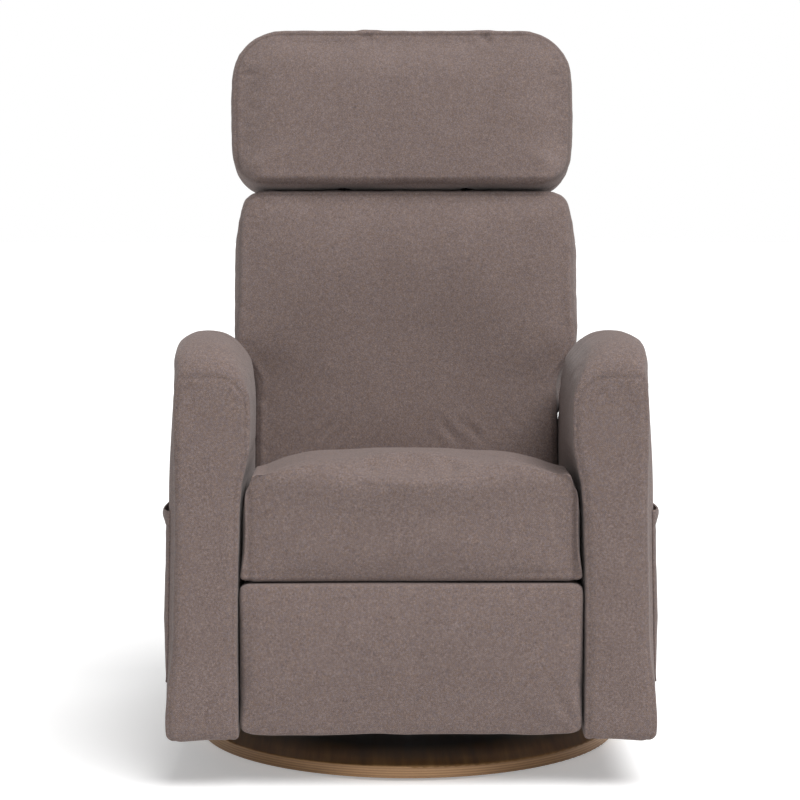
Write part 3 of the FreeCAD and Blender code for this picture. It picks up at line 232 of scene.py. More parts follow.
class Finish(Wiring):
    """A procedural material under construction."""

    def __init__(self, name):
        self.material = bpy.data.materials.new(name)
        self.material.use_nodes = True
        super().__init__(self.material.node_tree)
        self.shader = self.tree.nodes["Principled BSDF"]

    def surface(self, **sockets):
        self.feed(self.shader, {key.replace("_", " "): value for key, value in sockets.items()})

    def place(self):
        return self.node("ShaderNodeTexCoord", out=3)

    def facing(self):
        """How squarely the surface faces along X, Y and Z."""
        normal = self.node("ShaderNodeTexCoord", out=1)
        return [abs(part) for part in self.parts(normal)]

    def parts(self, vector):
        split = self.node("ShaderNodeSeparateXYZ", None, {0: vector})
        return [Reading(self, out) for out in split.socket.node.outputs]

    def noise(self, where, scale, detail=2.0, rough=0.5):
        sockets = {"Vector": where, "Scale": scale, "Detail": detail, "Roughness": rough}
        return self.node("ShaderNodeTexNoise", None, sockets)

    def streaks(self, where, stretch, detail, rough=0.5):
        """Noise drawn out along one way, like grain."""
        drawn = self.node("ShaderNodeMapping", None, {"Vector": where, "Scale": stretch})
        return self.noise(drawn, 1.0, detail, rough)

    def ramp(self, value, places, colours):
        return self.node("ShaderNodeValToRGB", {"stops": list(zip(places, colours))}, {0: value})

    def mix(self, factor, first, second):
        settings = {"data_type": "RGBA", "blend_type": "MIX"}
        return self.node("ShaderNodeMix", settings, {0: factor, 6: first, 7: second}, out=2)

    def bump(self, height, distance, strength):
        sockets = {"Height": height, "Distance": distance, "Strength": strength}
        self.surface(Normal=self.node("ShaderNodeBump", None, sockets))


def tone(red, green, blue):
    return (red, green, blue, 1.0)


def heather_upholstery():
    """Brushed taupe cloth: a fine weave of light and dark yarns, mottled, with painted shade along the
    seams.
    """
    yarn_pitch = 0.0026
    dark_to_light = (0.34, 0.50, 0.68)
    warm_yarn = ((0.118, 0.080, 0.064), (0.196, 0.140, 0.118), (0.322, 0.240, 0.205))
    cool_yarn = ((0.104, 0.080, 0.078), (0.176, 0.138, 0.136), (0.292, 0.238, 0.234))
    cloth = Finish("heather_upholstery")
    where = cloth.place()
    x, y, z = cloth.parts(where)
    side, front, top = [part ** 4.0 for part in cloth.facing()]
    x_yarn, y_yarn, z_yarn = [part.wave(yarn_pitch) for part in (x, y, z)]
    weave = side * (y_yarn * z_yarn) + front * (x_yarn * z_yarn) + top * (x_yarn * y_yarn)
    yarn = cloth.noise(where, scale=640.0, detail=3.0, rough=0.7)
    slub = cloth.noise(where, scale=230.0)
    patch = cloth.noise(where, scale=22.0, detail=3.0)
    hue = cloth.noise(where, scale=430.0, rough=0.6)
    shade = yarn * 0.74 + slub * 0.20 + patch * 0.06 + weave * 0.03
    warm = cloth.ramp(shade, dark_to_light, warm_yarn)
    cool = cloth.ramp(shade, dark_to_light, cool_yarn)
    tint = cloth.ramp(hue, (0.40, 0.60), ((0.0, 0.0, 0.0), (1.0, 1.0, 1.0)))
    colour = cloth.mix(tint, warm, cool)
    # Painted shade: the cloth darkens towards near black along the seams
    seam = cloth.node("ShaderNodeAttribute", {"attribute_name": "seam"}, out=2)
    colour = cloth.mix(seam, colour, tone(0.040, 0.027, 0.023))
    cloth.surface(Base_Color=colour, Roughness=0.82 + yarn * 0.2)
    cloth.surface(Sheen_Weight=0.12, Sheen_Roughness=0.55, Specular_IOR_Level=0.25)
    cloth.bump(weave * 0.45 + yarn * 0.9 + slub * 0.5, distance=0.0005, strength=0.42)
    return cloth.material


def birch_plywood():
    """Plywood: plies show at the edge, and the faces have a veneer, with painted shade that darkens it to
    near black around the middle.
    """
    two_plies = 0.0036
    lift = 0.0006
    face_upward = 0.72
    ply_tones = ((0.350, 0.196, 0.094), (0.390, 0.218, 0.104), (0.540, 0.322, 0.160), (0.510, 0.300, 0.146))
    veneer_tones = ((0.270, 0.145, 0.058), (0.420, 0.235, 0.098), (0.560, 0.335, 0.150))
    wood = Finish("birch_plywood")
    where = wood.place()
    x, y, z = wood.parts(where)
    flat = wood.facing()[2].over(face_upward)
    drift = wood.noise(where, scale=9.0)
    layer = ((z + drift * lift) / two_plies).fraction()
    ply = wood.ramp(layer, (0.0, 0.42, 0.54, 0.95), ply_tones)
    grain = wood.streaks(where, (60.0, 3.0, 60.0), detail=5.0, rough=0.62)
    veneer = wood.ramp(grain, (0.30, 0.52, 0.72), veneer_tones)
    # Painted shade: the veneer darkens towards near black around the disc's middle, under the chair
    middle = wood.ramp((x * x + y * y) * 10.0, (0.40, 0.80), ((0.92, 0.92, 0.92), (0.0, 0.0, 0.0)))
    veneer = wood.mix(middle, veneer, tone(0.012, 0.008, 0.005))
    fleck = wood.streaks(where, (260.0, 260.0, 700.0), detail=3.0)
    edge = wood.mix(fleck * 0.4, ply, tone(0.240, 0.128, 0.058))
    wood.surface(Base_Color=wood.mix(flat, edge, veneer), Roughness=0.42 + grain * 0.25)
    wood.bump(grain * 0.5 + fleck * 0.5, distance=0.0003, strength=0.3)
    return wood.material


def satin_metal(name, dark, light, metallic, rough):
    """Painted or plated steel with faint handling marks."""
    metal = Finish(name)
    where = metal.place()
    cloud = metal.noise(where, scale=38.0, detail=4.0, rough=0.6)
    speck = metal.noise(where, scale=900.0)
    colour = metal.ramp(cloud, (0.30, 0.70), (dark, light))
    metal.surface(Base_Color=colour, Metallic=metallic, Roughness=rough + cloud * 0.14 - speck * 0.06)
    metal.bump(speck, distance=0.00015, strength=0.2)
    return metal.material


def moulded_nylon():
    """Black nylon with a fine moulded grain."""
    nylon = Finish("moulded_nylon")
    grain = nylon.noise(nylon.place(), scale=1300.0)
    colour = nylon.ramp(grain, (0.35, 0.65), ((0.030, 0.030, 0.031), (0.048, 0.047, 0.046)))
    nylon.surface(Base_Color=colour, Roughness=0.45 + grain * 0.2)
    nylon.bump(grain, distance=0.0001, strength=0.3)
    return nylon.material


def pale_timber():
    """Sawn softwood with long grain along the board."""
    ring_tones = ((0.360, 0.222, 0.112), (0.520, 0.352, 0.195), (0.600, 0.432, 0.262))
    wood = Finish("pale_timber")
    where = wood.place()
    rings = wood.streaks(where, (4.0, 55.0, 55.0), detail=5.0, rough=0.6)
    fine = wood.streaks(where, (30.0, 700.0, 700.0), detail=2.0)
    colour = wood.ramp(rings, (0.30, 0.50, 0.72), ring_tones)
    colour = wood.mix(fine * 0.3, colour, tone(0.300, 0.185, 0.098))
    wood.surface(Base_Color=colour, Roughness=0.55 + fine * 0.3)
    wood.bump(rings * 0.4 + fine, distance=0.0003, strength=0.3)
    return wood.material


def elastic_webbing():
    """Ribbed elastic strap, dark in the grooves and paler on the ribs."""
    rib_pitch, cross_pitch = 0.0032, 0.0024
    strap = Finish("elastic_webbing")
    where = strap.place()
    x, y, z = strap.parts(where)
    ribs = (y + z).wave(rib_pitch) * 0.5 + 0.5
    cross = x.wave(cross_pitch) * 0.5 + 0.5
    fuzz = strap.noise(where, scale=800.0)
    colour = strap.mix(ribs * 0.55 + fuzz * 0.3, tone(0.030, 0.028, 0.027), tone(0.120, 0.108, 0.098))
    strap.surface(Base_Color=colour, Roughness=0.75 + fuzz * 0.2)
    strap.bump(ribs * cross, distance=0.0004, strength=0.5)
    return strap.material


def studio_floor():
    """White floor that keeps the chair's soft shadow."""
    floor = Finish("studio_floor")
    grain = floor.noise(floor.place(), scale=40.0)
    floor.surface(Base_Color=floor.ramp(grain, (0.0, 1.0), ((0.86, 0.86, 0.86), (0.88, 0.88, 0.88))))
    floor.surface(Roughness=0.9, Specular_IOR_Level=0.1)
    plain = Reading(floor, floor.shader.outputs[0])
    glow = floor.node("ShaderNodeEmission", None, {"Color": WHITE, "Strength": FLOOR_GLOW})
    lit = floor.node("ShaderNodeAddShader", None, {0: plain, 1: glow})
    shown = floor.node("ShaderNodeMixShader", None, {0: floor.in_view(), 1: plain, 2: lit})
    floor.feed(floor.tree.nodes["Material Output"], {"Surface": shown})
    return floor.material


def lay_floor():
    shape = bmesh.new()
    bmesh.ops.create_grid(shape, x_segments=1, y_segments=1, size=FLOOR_HALF_WIDTH)
    floor = made("floor", shape)
    floor.data.materials.append(studio_floor())


# Mesh helpers

def made(name, shape):
    """An object at the origin from a bmesh."""
    mesh = bpy.data.meshes.new(name)
    shape.to_mesh(mesh)
    shape.free()
    return put(name, mesh)


def settle(piece):
    """Takes what the modifiers give as the piece's own mesh."""
    graph = bpy.context.evaluated_depsgraph_get()
    mesh = bpy.data.meshes.new_from_object(piece.evaluated_get(graph))
    piece.modifiers.clear()
    piece.data = mesh


def points_of(piece):
    flat = np.empty(len(piece.data.vertices) * 3)
    piece.data.vertices.foreach_get("co", flat)
    return flat.reshape(-1, 3)


def normals_of(piece):
    flat = np.empty(len(piece.data.vertices) * 3)
    piece.data.vertex_normals.foreach_get("vector", flat)
    return flat.reshape(-1, 3)


def move_points(piece, points):
    piece.data.vertices.foreach_set("co", points.reshape(-1))
    piece.data.update()


def ease(value):
    """Smooth step from 0 to 1."""
    held = np.clip(value, 0.0, 1.0)
    return held * held * (3 - 2 * held)


def rise(value, start, span):
    """Smooth step from 0 at the start to 1 at a span past it."""
    return ease((value - start) / span)


def fall(value, end, span):
    """Smooth step from 1 at a span before the end to 0 at the end."""
    return ease((end - value) / span)


def hump(distance, width):
    """Bell curve, 1 at no distance."""
    return np.exp(-(distance / width) ** 2)


def ripple(along, seed):
    """Uneven gathers along a seam, from a few waves that never line up."""
    waves = ((19.0, 0.5), (31.0, 0.34), (47.0, 0.16), (8.0, 0.5))
    total = np.zeros_like(along)
    for order, (rate, height) in enumerate(waves):
        total += height * np.sin(math.tau * rate * along + 2.1 * seed + 1.7 * order * seed)
    return total


def unevenness(points, seed):
    """Slow swells in the stuffing, about one unit high."""
    x, y, z = points.T
    first = np.sin(9.0 * x + 4.0 * z + seed) * np.sin(11.0 * z - 5.0 * y + 2.3 * seed)
    second = np.sin(23.0 * x - 9.0 * y + 1.3 * seed) * np.sin(19.0 * z + 13.0 * y + 0.7 * seed)
    return 0.65 * first + 0.35 * second


def skin(piece, rounds, step=SKIN_STEP):
    """Remeshes a form into an even cloth skin and eases its corners."""
    remesh = piece.modifiers.new("skin", "REMESH")
    remesh.mode = "VOXEL"
    remesh.voxel_size = step
    settle(piece)
    shape = bmesh.new()
    shape.from_mesh(piece.data)
    every_way = {"use_axis_x": True, "use_axis_y": True, "use_axis_z": True}
    for turn in range(rounds):
        bmesh.ops.smooth_vert(shape, verts=shape.verts, factor=0.5, **every_way)
    shape.to_mesh(piece.data)
    shape.free()


def fill_with_air(piece, held, crown):
    """Blows the skin up as cloth. Held points stay, and the fullest panel rises by the crown."""
    start = points_of(piece)
    group = piece.vertex_groups.new(name="held")
    group.add([int(index) for index in np.flatnonzero(held)], 1.0, "REPLACE")
    cloth = piece.modifiers.new("air", "CLOTH")
    cloth.settings.quality = 4
    cloth.settings.mass = 0.4
    cloth.settings.tension_stiffness = 14
    cloth.settings.compression_stiffness = 14
    cloth.settings.shear_stiffness = 7
    cloth.settings.bending_stiffness = 0.8
    cloth.settings.use_pressure = True
    cloth.settings.uniform_pressure_force = 4.0
    cloth.settings.vertex_group_mass = "held"
    cloth.settings.effector_weights.gravity = 0.0
    cloth.collision_settings.use_collision = False
    cloth.collision_settings.use_self_collision = False
    for step in range(1, AIR_STEPS + 1):
        scene.frame_set(step)
    settle(piece)
    scene.frame_set(1)
    moved = points_of(piece) - start
    length = np.linalg.norm(moved, axis=1)
    moved *= np.minimum(1.0, AIR_LIMIT / np.maximum(length, 1e-9))[:, None]
    fullest = np.percentile(np.linalg.norm(moved, axis=1), 99)
    move_points(piece, start + moved * (crown / max(fullest, 1e-6)))
    piece.vertex_groups.clear()


def refine(piece):
    """One subdivision, applied."""
    finer = piece.modifiers.new("finer", "SUBSURF")
    finer.levels = 1
    finer.render_levels = 1
    settle(piece)


def sew(piece, distance, along, depth, gather, seam_shade_strength, seed):
    """Draws the cloth in along a seam, with slight gathers beside it, and paints shade along the seam for
    the finish.
    """
    ridge_place, ridge_half, gather_reach = 0.009, 0.005, 0.018
    near = hump(distance, SEAM_HALF)
    ridge = hump(np.abs(distance) - ridge_place, ridge_half)
    pleats = ripple(along, seed) * np.exp(-np.abs(distance) / gather_reach) * (1 - 0.6 * near)
    push = -depth * near + 0.25 * depth * ridge + gather * pleats
    move_points(piece, points_of(piece) + normals_of(piece) * push[:, None])
    # Painted shade along the seam line, darkest on it
    paint_seam_shade(piece, seam_shade_strength * hump(distance, SEAM_SHADE_HALF))


def seam_run(x, t):
    """A length that grows along a panel's edge, whether the edge runs across or up."""
    return x + 1.3 * t


def paint_seam_shade(piece, strength):
    """Adds painted shade along a seam to the piece's seam shade attribute."""
    layer = piece.data.attributes.get("seam")
    kept = np.zeros(len(strength))
    if layer is None:
        layer = piece.data.attributes.new("seam", "FLOAT", "POINT")
    else:
        layer.data.foreach_get("value", kept)
    layer.data.foreach_set("value", np.maximum(kept, strength).astype(np.float32))


def crease(piece, centre, way, length, width, depth):
    """Presses one short fold into a panel, with a soft roll each side of it."""
    points = points_of(piece)
    gap = points - np.array(centre)
    way = np.array(way) / np.linalg.norm(way)
    along = gap @ way
    across = np.linalg.norm(gap - np.outer(along, way), axis=1)
    roll = hump(across - 2.2 * width, width)
    push = depth * (0.5 * roll - hump(across, width)) * hump(along, length)
    move_points(piece, points + normals_of(piece) * push[:, None])


def upright(points):
    """X, forward N and upward T of points on the leaned back or headrest."""
    there = np.array(BACK_PLACE.inverted())
    local = points @ there[:3, :3].T + there[:3, 3]
    return local[:, 0], -local[:, 1], local[:, 2]


def border(x, t, half, low, high, low_round, high_round):
    """Distance in from the outline of a round-cornered panel."""
    middle = (low + high) / 2
    corner = np.where(t > middle, high_round, low_round)
    past_x = np.abs(x) - (half - corner)
    past_t = np.abs(t - middle) - ((high - low) / 2 - corner)
    outside = np.hypot(np.maximum(past_x, 0), np.maximum(past_t, 0))
    return corner - outside - np.minimum(np.maximum(past_x, past_t), 0)


def slab(name, outline, n_rear, n_front, rims):
    """Upright padded slab from half an outline of (x, t, corner round), with its rims rounded over."""
    shape = bmesh.new()
    ring = outline + [(-x, t, corner) for x, t, corner in reversed(outline)]
    face = shape.faces.new([shape.verts.new((x, -n_rear, t)) for x, t, corner in ring])
    grown = bmesh.ops.extrude_face_region(shape, geom=[face])
    moved = [item for item in grown["geom"] if isinstance(item, bmesh.types.BMVert)]
    bmesh.ops.translate(shape, verts=moved, vec=(0.0, n_rear - n_front, 0.0))
    bmesh.ops.recalc_face_normals(shape, faces=shape.faces)
    for x, t, corner in ring:
        round_over(shape, [edge for edge in shape.edges if runs_through(edge, x, t)], corner, 6)
    for level, rim in zip((-n_front, -n_rear), rims):
        edges = [edge for edge in shape.edges
                 if all(abs(end.co.y - level) < SAME_LEVEL for end in edge.verts)]
        round_over(shape, edges, rim, 5)
    bmesh.ops.transform(shape, matrix=BACK_PLACE, verts=shape.verts)
    return made(name, shape)


def round_over(shape, edges, offset, segments):
    bmesh.ops.bevel(shape, geom=edges, offset=offset, segments=segments, profile=0.5,
                    affect="EDGES", material=-1)


def runs_through(edge, x, t):
    """Whether an edge of an upright slab runs front to back through a point of its outline."""
    return all(abs(end.co.x - x) < SAME_LEVEL and abs(end.co.z - t) < SAME_LEVEL for end in edge.verts)


def cut_out(piece, boxes):
    """Cuts box-shaped slots, given as X, N and T limits on the leaned frame, out of a form."""
    shape = bmesh.new()
    for (x0, x1), (n0, n1), (t0, t1) in boxes:
        size = Matrix.Diagonal((x1 - x0, n1 - n0, t1 - t0, 1.0))
        spot = Matrix.Translation(((x0 + x1) / 2, -(n0 + n1) / 2, (t0 + t1) / 2))
        bmesh.ops.create_cube(shape, size=1.0, matrix=BACK_PLACE @ spot @ size)
    cutter = made("cutter", shape)
    slot = piece.modifiers.new("slots", "BOOLEAN")
    slot.operation = "DIFFERENCE"
    slot.solver = "EXACT"
    slot.object = cutter
    settle(piece)
    bpy.data.objects.remove(cutter)


def copy_of(node):
    """A bmesh copy of a solid, with its faces joined up."""
    shape = bmesh.new()
    shape.from_mesh(frame["nodes"][node].data)
    bmesh.ops.remove_doubles(shape, verts=shape.verts, dist=WELD)
    return shape


def outer_skin(name, node):
    """A copy of a soft solid's outside, with the rooms for the frame inside it closed off."""
    shape = copy_of(node)
    tree = BVHTree.FromBMesh(shape)
    clear = 1e-4
    inside = [face for face in shape.faces
              if tree.ray_cast(face.calc_center_median() + face.normal * clear, face.normal)[0] is not None]
    bmesh.ops.delete(shape, geom=inside, context="FACES")
    bmesh.ops.holes_fill(shape, edges=[edge for edge in shape.edges if edge.is_boundary], sides=0)
    bmesh.ops.recalc_face_normals(shape, faces=shape.faces)
    return made(name, shape)


def draw_in(piece, amount, free):
    """Makes the free panels of a form a little smaller, so that the air brings them back to size."""
    points = points_of(piece)
    move_points(piece, points - normals_of(piece) * (amount * free)[:, None])


def fit(piece, low, high, place=Matrix.Identity(4)):
    """Brings a filled piece back to the box that its solid holds, along the axes of its own place."""
    there = np.array(place.inverted())
    back = np.array(place)
    local = points_of(piece) @ there[:3, :3].T + there[:3, 3]
    least, most = local.min(axis=0), local.max(axis=0)
    low, high = np.array(low), np.array(high)
    local = low + (local - least) * (high - low) / (most - least)
    move_points(piece, local @ back[:3, :3].T + back[:3, 3])


def corner_inset(distance, radius):
    """How far a rounded corner stays back from its edge, at a distance from the corner's other edge."""
    return radius - np.sqrt(radius ** 2 - np.clip(radius - distance, 0.0, radius) ** 2)


def edge_line(z, x, near, pick):
    """Silhouette X of a piece's front at the height of each point, read from the skin itself."""
    lowest, highest, step = 0.070, 0.600, 0.006
    levels = np.arange(max(lowest, z.min()), highest, step)
    found = []
    for level in levels:
        row = x[near & (np.abs(z - level) < step)]
        found.append(pick(row) if len(row) else np.nan)
    found = np.array(found)
    good = ~np.isnan(found)
    return np.interp(z, levels[good], found[good])


def dress(piece, body, nodes):
    """Gives a finished soft piece its cloth and its body, and hides the solids that it stands for."""
    piece.data.materials.clear()
    piece.data.materials.append(finishes["upholstery"])
    piece.data.polygons.foreach_set("use_smooth", [True] * len(piece.data.polygons))
    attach(piece, body)
    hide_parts(*nodes)
    return piece


# Soft pieces

# Height against half width of the room between the arms, up the inside of their front ends
ARM_LEVELS = (0.07, 0.20, 0.295, 0.382, 0.430, 0.474, 0.520, 0.640)
ARM_LINES = (0.2415, 0.2415, 0.2405, 0.2376, 0.2330, 0.2235, 0.2215, 0.2215)

# The back's foot, top, half width and corner rounds
BACK_LOW, BACK_HIGH = 0.024, 0.5455
BACK_NARROW, BACK_HALF = 0.2432, 0.2777
BACK_LOW_ROUND, BACK_HIGH_ROUND = 0.015, 0.056

# The top line of an arm: it is highest where its nose ends, and falls from there to the rear
CREST_PLACE, CREST_HEIGHT = -0.270, 0.632
BAND_DEPTH = 0.062

# The arm's foot, and its outside as a plain slab that leans in towards the top
ARM_FOOT = 0.072
ARM_OUTSIDE, ARM_LEAN = 0.340, 0.0162


def make_headrest():
    """The headrest's pillow, with slots in its foot for the leaves of its hinges."""
    half, low, high = 0.279, 0.548, 0.811
    low_round, high_round = 0.056, 0.076
    outline = [(half - 0.004, low + 0.002, low_round), (half - 0.004, high - 0.004, high_round)]
    piece = slab("headrest_pillow", outline, n_rear=-0.096, n_front=0.010, rims=(0.019, 0.020))
    (leaf_in, leaf_out), leaf_n, leaf_t = (0.0935, 0.111), (-0.080, -0.020), (0.540, 0.592)
    cut_out(piece, [((leaf_in, leaf_out), leaf_n, leaf_t), ((-leaf_out, -leaf_in), leaf_n, leaf_t)])
    skin(piece, rounds=3)
    x, n, t = upright(points_of(piece))
    inner = border(x, t, half, low, high, low_round, high_round)
    by_seam = (np.abs(inner - 0.008) < SEAM_HOLD_HALF) & ((n > -0.02) | (n < -0.06))
    by_slot = (np.abs(np.abs(x) - 0.102) < 0.018) & (t < 0.605) & (n < -0.012)
    held = by_seam | by_slot | (t < low + 0.008)
    fill_with_air(piece, held, crown=0.022)
    refine(piece)
    fit(piece, (-half - 0.003, -0.032, low), (half, 0.100, high + 0.004), BACK_PLACE)
    points = points_of(piece)
    x, n, t = upright(points)
    # Ends a little narrower at the top and foot, and a little to the chair's right, as in the photograph
    middle, half_height, narrowing, lean = 0.690, 0.131, 0.020, 0.0040
    points[:, 0] *= 1 - narrowing * ((t - middle) / half_height) ** 2
    points[:, 0] -= lean * rise(np.abs(x), 0.130, 0.100)
    points += np.outer(chin_push(x, n, t, half), leaned(0.0, -1.0, 0.0))
    inner = border(x, t, half, low, high, low_round, high_round)
    points += normals_of(piece) * (0.0014 * unevenness(points, 1.0) * rise(inner, 0.0, 0.05))[:, None]
    move_points(piece, points)
    ahead = n > -0.030
    foot = fall(t, 0.600, 0.030)
    wander = 0.0016 * np.sin(math.tau * 4.3 * x + 0.8) * foot
    front_inset, rear_inset = 0.0070 - 0.0040 * foot, 0.0080
    stitch = {"depth": 0.0016, "gather": 0.0005, "seam_shade_strength": 0.32}
    sew(piece, np.where(ahead, inner - front_inset - wander, NO_SEAM), seam_run(x, t), seed=1.0, **stitch)
    sew(piece, np.where(ahead, NO_SEAM, inner - rear_inset), seam_run(x, t), seed=2.0, **stitch)
    for x_at, turn in ((-0.062, 0.5), (0.128, -0.35)):
        spot = BACK_PLACE @ Vector((x_at, -0.006, high - 0.012))
        crease(piece, spot, leaned(turn, -0.5, 1.0), length=0.024, width=0.007, depth=0.0034)
    return dress(piece, "headrest", ["headrest_cushion", "headrest_cover"])


def leaned(x, y, z):
    """A direction on the upright back, as it is on the leaned back."""
    return np.array(BACK_PLACE.to_3x3() @ Vector((x, y, z)))


def chin_push(x, n, t, half):
    """How far the headrest's lower front comes forward, rolling under at its foot."""
    roll_level, roll_radius, furthest = 0.578, 0.0334, 0.031
    fade = 0.050 + 0.100 * rise(t, 0.580, 0.060)
    chin = rise(n, -0.010, 0.012) * fall(t, 0.740, 0.080) * fall(np.abs(x), half, fade)
    below = np.minimum(t - roll_level, 0.0)
    reach = np.minimum(furthest, 0.002 + np.sqrt(np.maximum(roll_radius ** 2 - below ** 2, 0.0)))
    return np.clip(reach - n, 0.0, 0.024) * chin


def back_half_width(t):
    """Half width of the back: narrow between the arms, wider above them."""
    return BACK_NARROW + 0.0345 * rise(t, 0.221, 0.082)


def rear_half_width(t):
    """Half width of the back's rear, which closes the gap above the arms, and clears them reclined."""
    return BACK_NARROW + 0.0125 * rise(t, 0.180, 0.020) + 0.0220 * rise(t, 0.237, 0.038)


def back_border(x, t):
    """Distance in from the back's outline, as if the back were as wide below as above."""
    wide = x * BACK_HALF / back_half_width(t)
    return border(wide, t, BACK_HALF, BACK_LOW, BACK_HIGH, BACK_LOW_ROUND, BACK_HIGH_ROUND)


def make_back():
    """The back's cushion, creased above the seat."""
    low, high, half = BACK_LOW, BACK_HIGH, BACK_HALF
    outline = [(0.2445, low + 0.002, 0.014), (0.2445, 0.221, 0.022),
               (half - 0.001, 0.303, 0.022), (half - 0.001, high - 0.003, BACK_HIGH_ROUND)]
    piece = slab("back_cushion_cover", outline, n_rear=-0.096, n_front=0.014, rims=(0.018, 0.019))
    skin(piece, rounds=3)
    x, n, t = upright(points_of(piece))
    inner = back_border(x, t)
    held = (np.abs(inner - 0.009) < SEAM_HOLD_HALF) & (n > -0.02)
    held |= (np.abs(inner - 0.007) < SEAM_HOLD_HALF) & (n < -0.06)
    held |= (t < low + 0.010) | ((t > high - 0.008) & (inner < 0.02)) | ((t < 0.240) & (inner < 0.004))
    fill_with_air(piece, held, crown=0.018)
    refine(piece)
    fit(piece, (-half, -0.030, low), (half, 0.101, high), BACK_PLACE)
    points = points_of(piece)
    x, n, t = upright(points)
    # Each level takes the width that the photograph shows, tapered and rounded towards the top
    levels = np.arange(0.030, high - 0.001, 0.005)
    widths = np.array([np.abs(x[np.abs(t - level) < 0.004]).max() for level in levels])
    taper = 0.0105 * rise(levels, 0.4405, 0.095) + corner_inset(high - levels, 0.026)
    points[:, 0] *= np.interp(t, levels, (back_half_width(levels) + 0.0004 - taper) / widths)
    behind = fall(n, -0.004, 0.050)
    points[:, 0] *= 1 + (rear_half_width(t) / back_half_width(t) - 1) * behind
    inner = back_border(x, t)
    points += normals_of(piece) * (0.0018 * unevenness(points, 3.0) * rise(inner, 0.0, 0.06))[:, None]
    move_points(piece, points)
    ahead = n > -0.036
    front_inset, rear_inset = 0.0090, 0.0075
    # Painted shade along the front seam, fading out low down
    front_seam_shade = 0.24 * rise(t, 0.28, 0.05)
    sew(piece, np.where(ahead, inner - front_inset, NO_SEAM), seam_run(x, t),
        depth=0.0012, gather=0.0005, seam_shade_strength=front_seam_shade, seed=3.0)
    sew(piece, np.where(ahead, NO_SEAM, inner - rear_inset), seam_run(x, t),
        depth=0.0016, gather=0.0005, seam_shade_strength=0.32, seed=4.0)
    for x_at, t_at, turn in ((-0.128, 0.150, 0.8), (-0.105, 0.146, 0.7), (0.066, 0.150, -0.7),
                             (0.106, 0.149, -0.9), (-0.190, 0.160, 1.2), (0.180, 0.158, -1.1)):
        spot = BACK_PLACE @ Vector((x_at, -0.030, t_at))
        crease(piece, spot, leaned(turn, 0.0, 1.0), length=0.020, width=0.006, depth=0.0015)
    return dress(piece, "back", ["back_cushion", "back_cover"])


def make_seat():
    """The seat's cushion: crowned in front, and lower towards the back."""
    piece = outer_skin("seat_cushion_cover", "seat_cushion")
    skin(piece, rounds=2)
    normals = normals_of(piece)
    upward, forward = rise(normals[:, 2], 0.4, 0.4), fall(normals[:, 1], -0.6, 0.4)
    draw_in(piece, 0.008, np.clip(upward + forward, 0, 1))
    x, y, z = points_of(piece).T
    by_seam = np.abs(np.abs(x) - 0.222) < SEAM_HOLD_HALF
    held = by_seam & ((normals[:, 1] < -0.3) | (normals[:, 2] > 0.3))
    held |= (normals[:, 2] < -0.5) | (normals[:, 1] > 0.6)
    fill_with_air(piece, held, crown=0.013)
    refine(piece)
    fit(piece, *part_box("seat_cushion"))
    shape_seat(piece)
    x, y, z = points_of(piece).T
    normals = normals_of(piece)
    panel = (normals[:, 1] < -0.12) | (normals[:, 2] > 0.12)
    seam_at = 0.2250
    gap = np.where(panel, np.abs(x) - seam_at, NO_SEAM)
    sew(piece, gap, 1.4 * z + y, depth=0.0014, gather=0.0005, seam_shade_strength=0.26, seed=5.0)
    for x_at, y_at, turn in ((-0.120, 0.030, 0.5), (0.072, 0.036, -0.4), (0.118, 0.032, -0.6)):
        crease(piece, (x_at, y_at, 0.440), (turn, 1.0, -0.15), length=0.030, width=0.007, depth=0.0022)
    return dress(piece, "seat", ["seat_cushion"])


def shape_seat(piece):
    """Brings the seat's front out to the arms, lifts its crown and shoulders, and lowers its rear."""
    points = points_of(piece)
    normals = normals_of(piece)
    # Views of the points: each step below reads what the steps before it made
    x, y, z = points.T
    # The front's sides follow the arms, with rounded bottom corners
    half_width, room = 0.2392, 0.0004
    wide = edge_line(np.minimum(z, 0.420), np.abs(x), y < -0.280, np.max)
    side = np.minimum(half_width, np.interp(z, ARM_LEVELS, ARM_LINES) - room)
    side -= corner_inset(z - z[y < -0.330].min(), 0.010)
    x *= 1 + (side / wide - 1) * fall(z, 0.425, 0.030)
    outward, across = np.sign(x), np.abs(x)
    # The top is full beside the middle, and drops towards the back
    above = rise(z, 0.340, 0.080)
    crown = 0.0115 * rise(across, 0.070, 0.090) * fall(across, 0.246, 0.022)
    drop = (0.021 + 0.016 * rise(across, 0.070, 0.140)) * rise(y, -0.250, 0.290)
    drop += 0.0045 * hump(across, 0.060) * rise(y, -0.300, 0.100)
    z += above * (crown - drop)
    # The front's bottom edge hangs a little, its shoulders lift, and the top's sides swell
    z -= 0.0022 * fall(z, 0.335, 0.030) * fall(y, -0.250, 0.050)
    z += 0.0075 * rise(across, 0.198, 0.020) * rise(z, 0.360, 0.060) * fall(y, -0.200, 0.080)
    x += outward * 0.004 * above * rise(across, 0.16, 0.05) * fall(across, 0.230, 0.02)
    free = fall(across, 0.22, 0.05) * rise(z, 0.31, 0.05)
    points += normals * (0.0012 * unevenness(points, 5.0) * free)[:, None]
    move_points(piece, points)


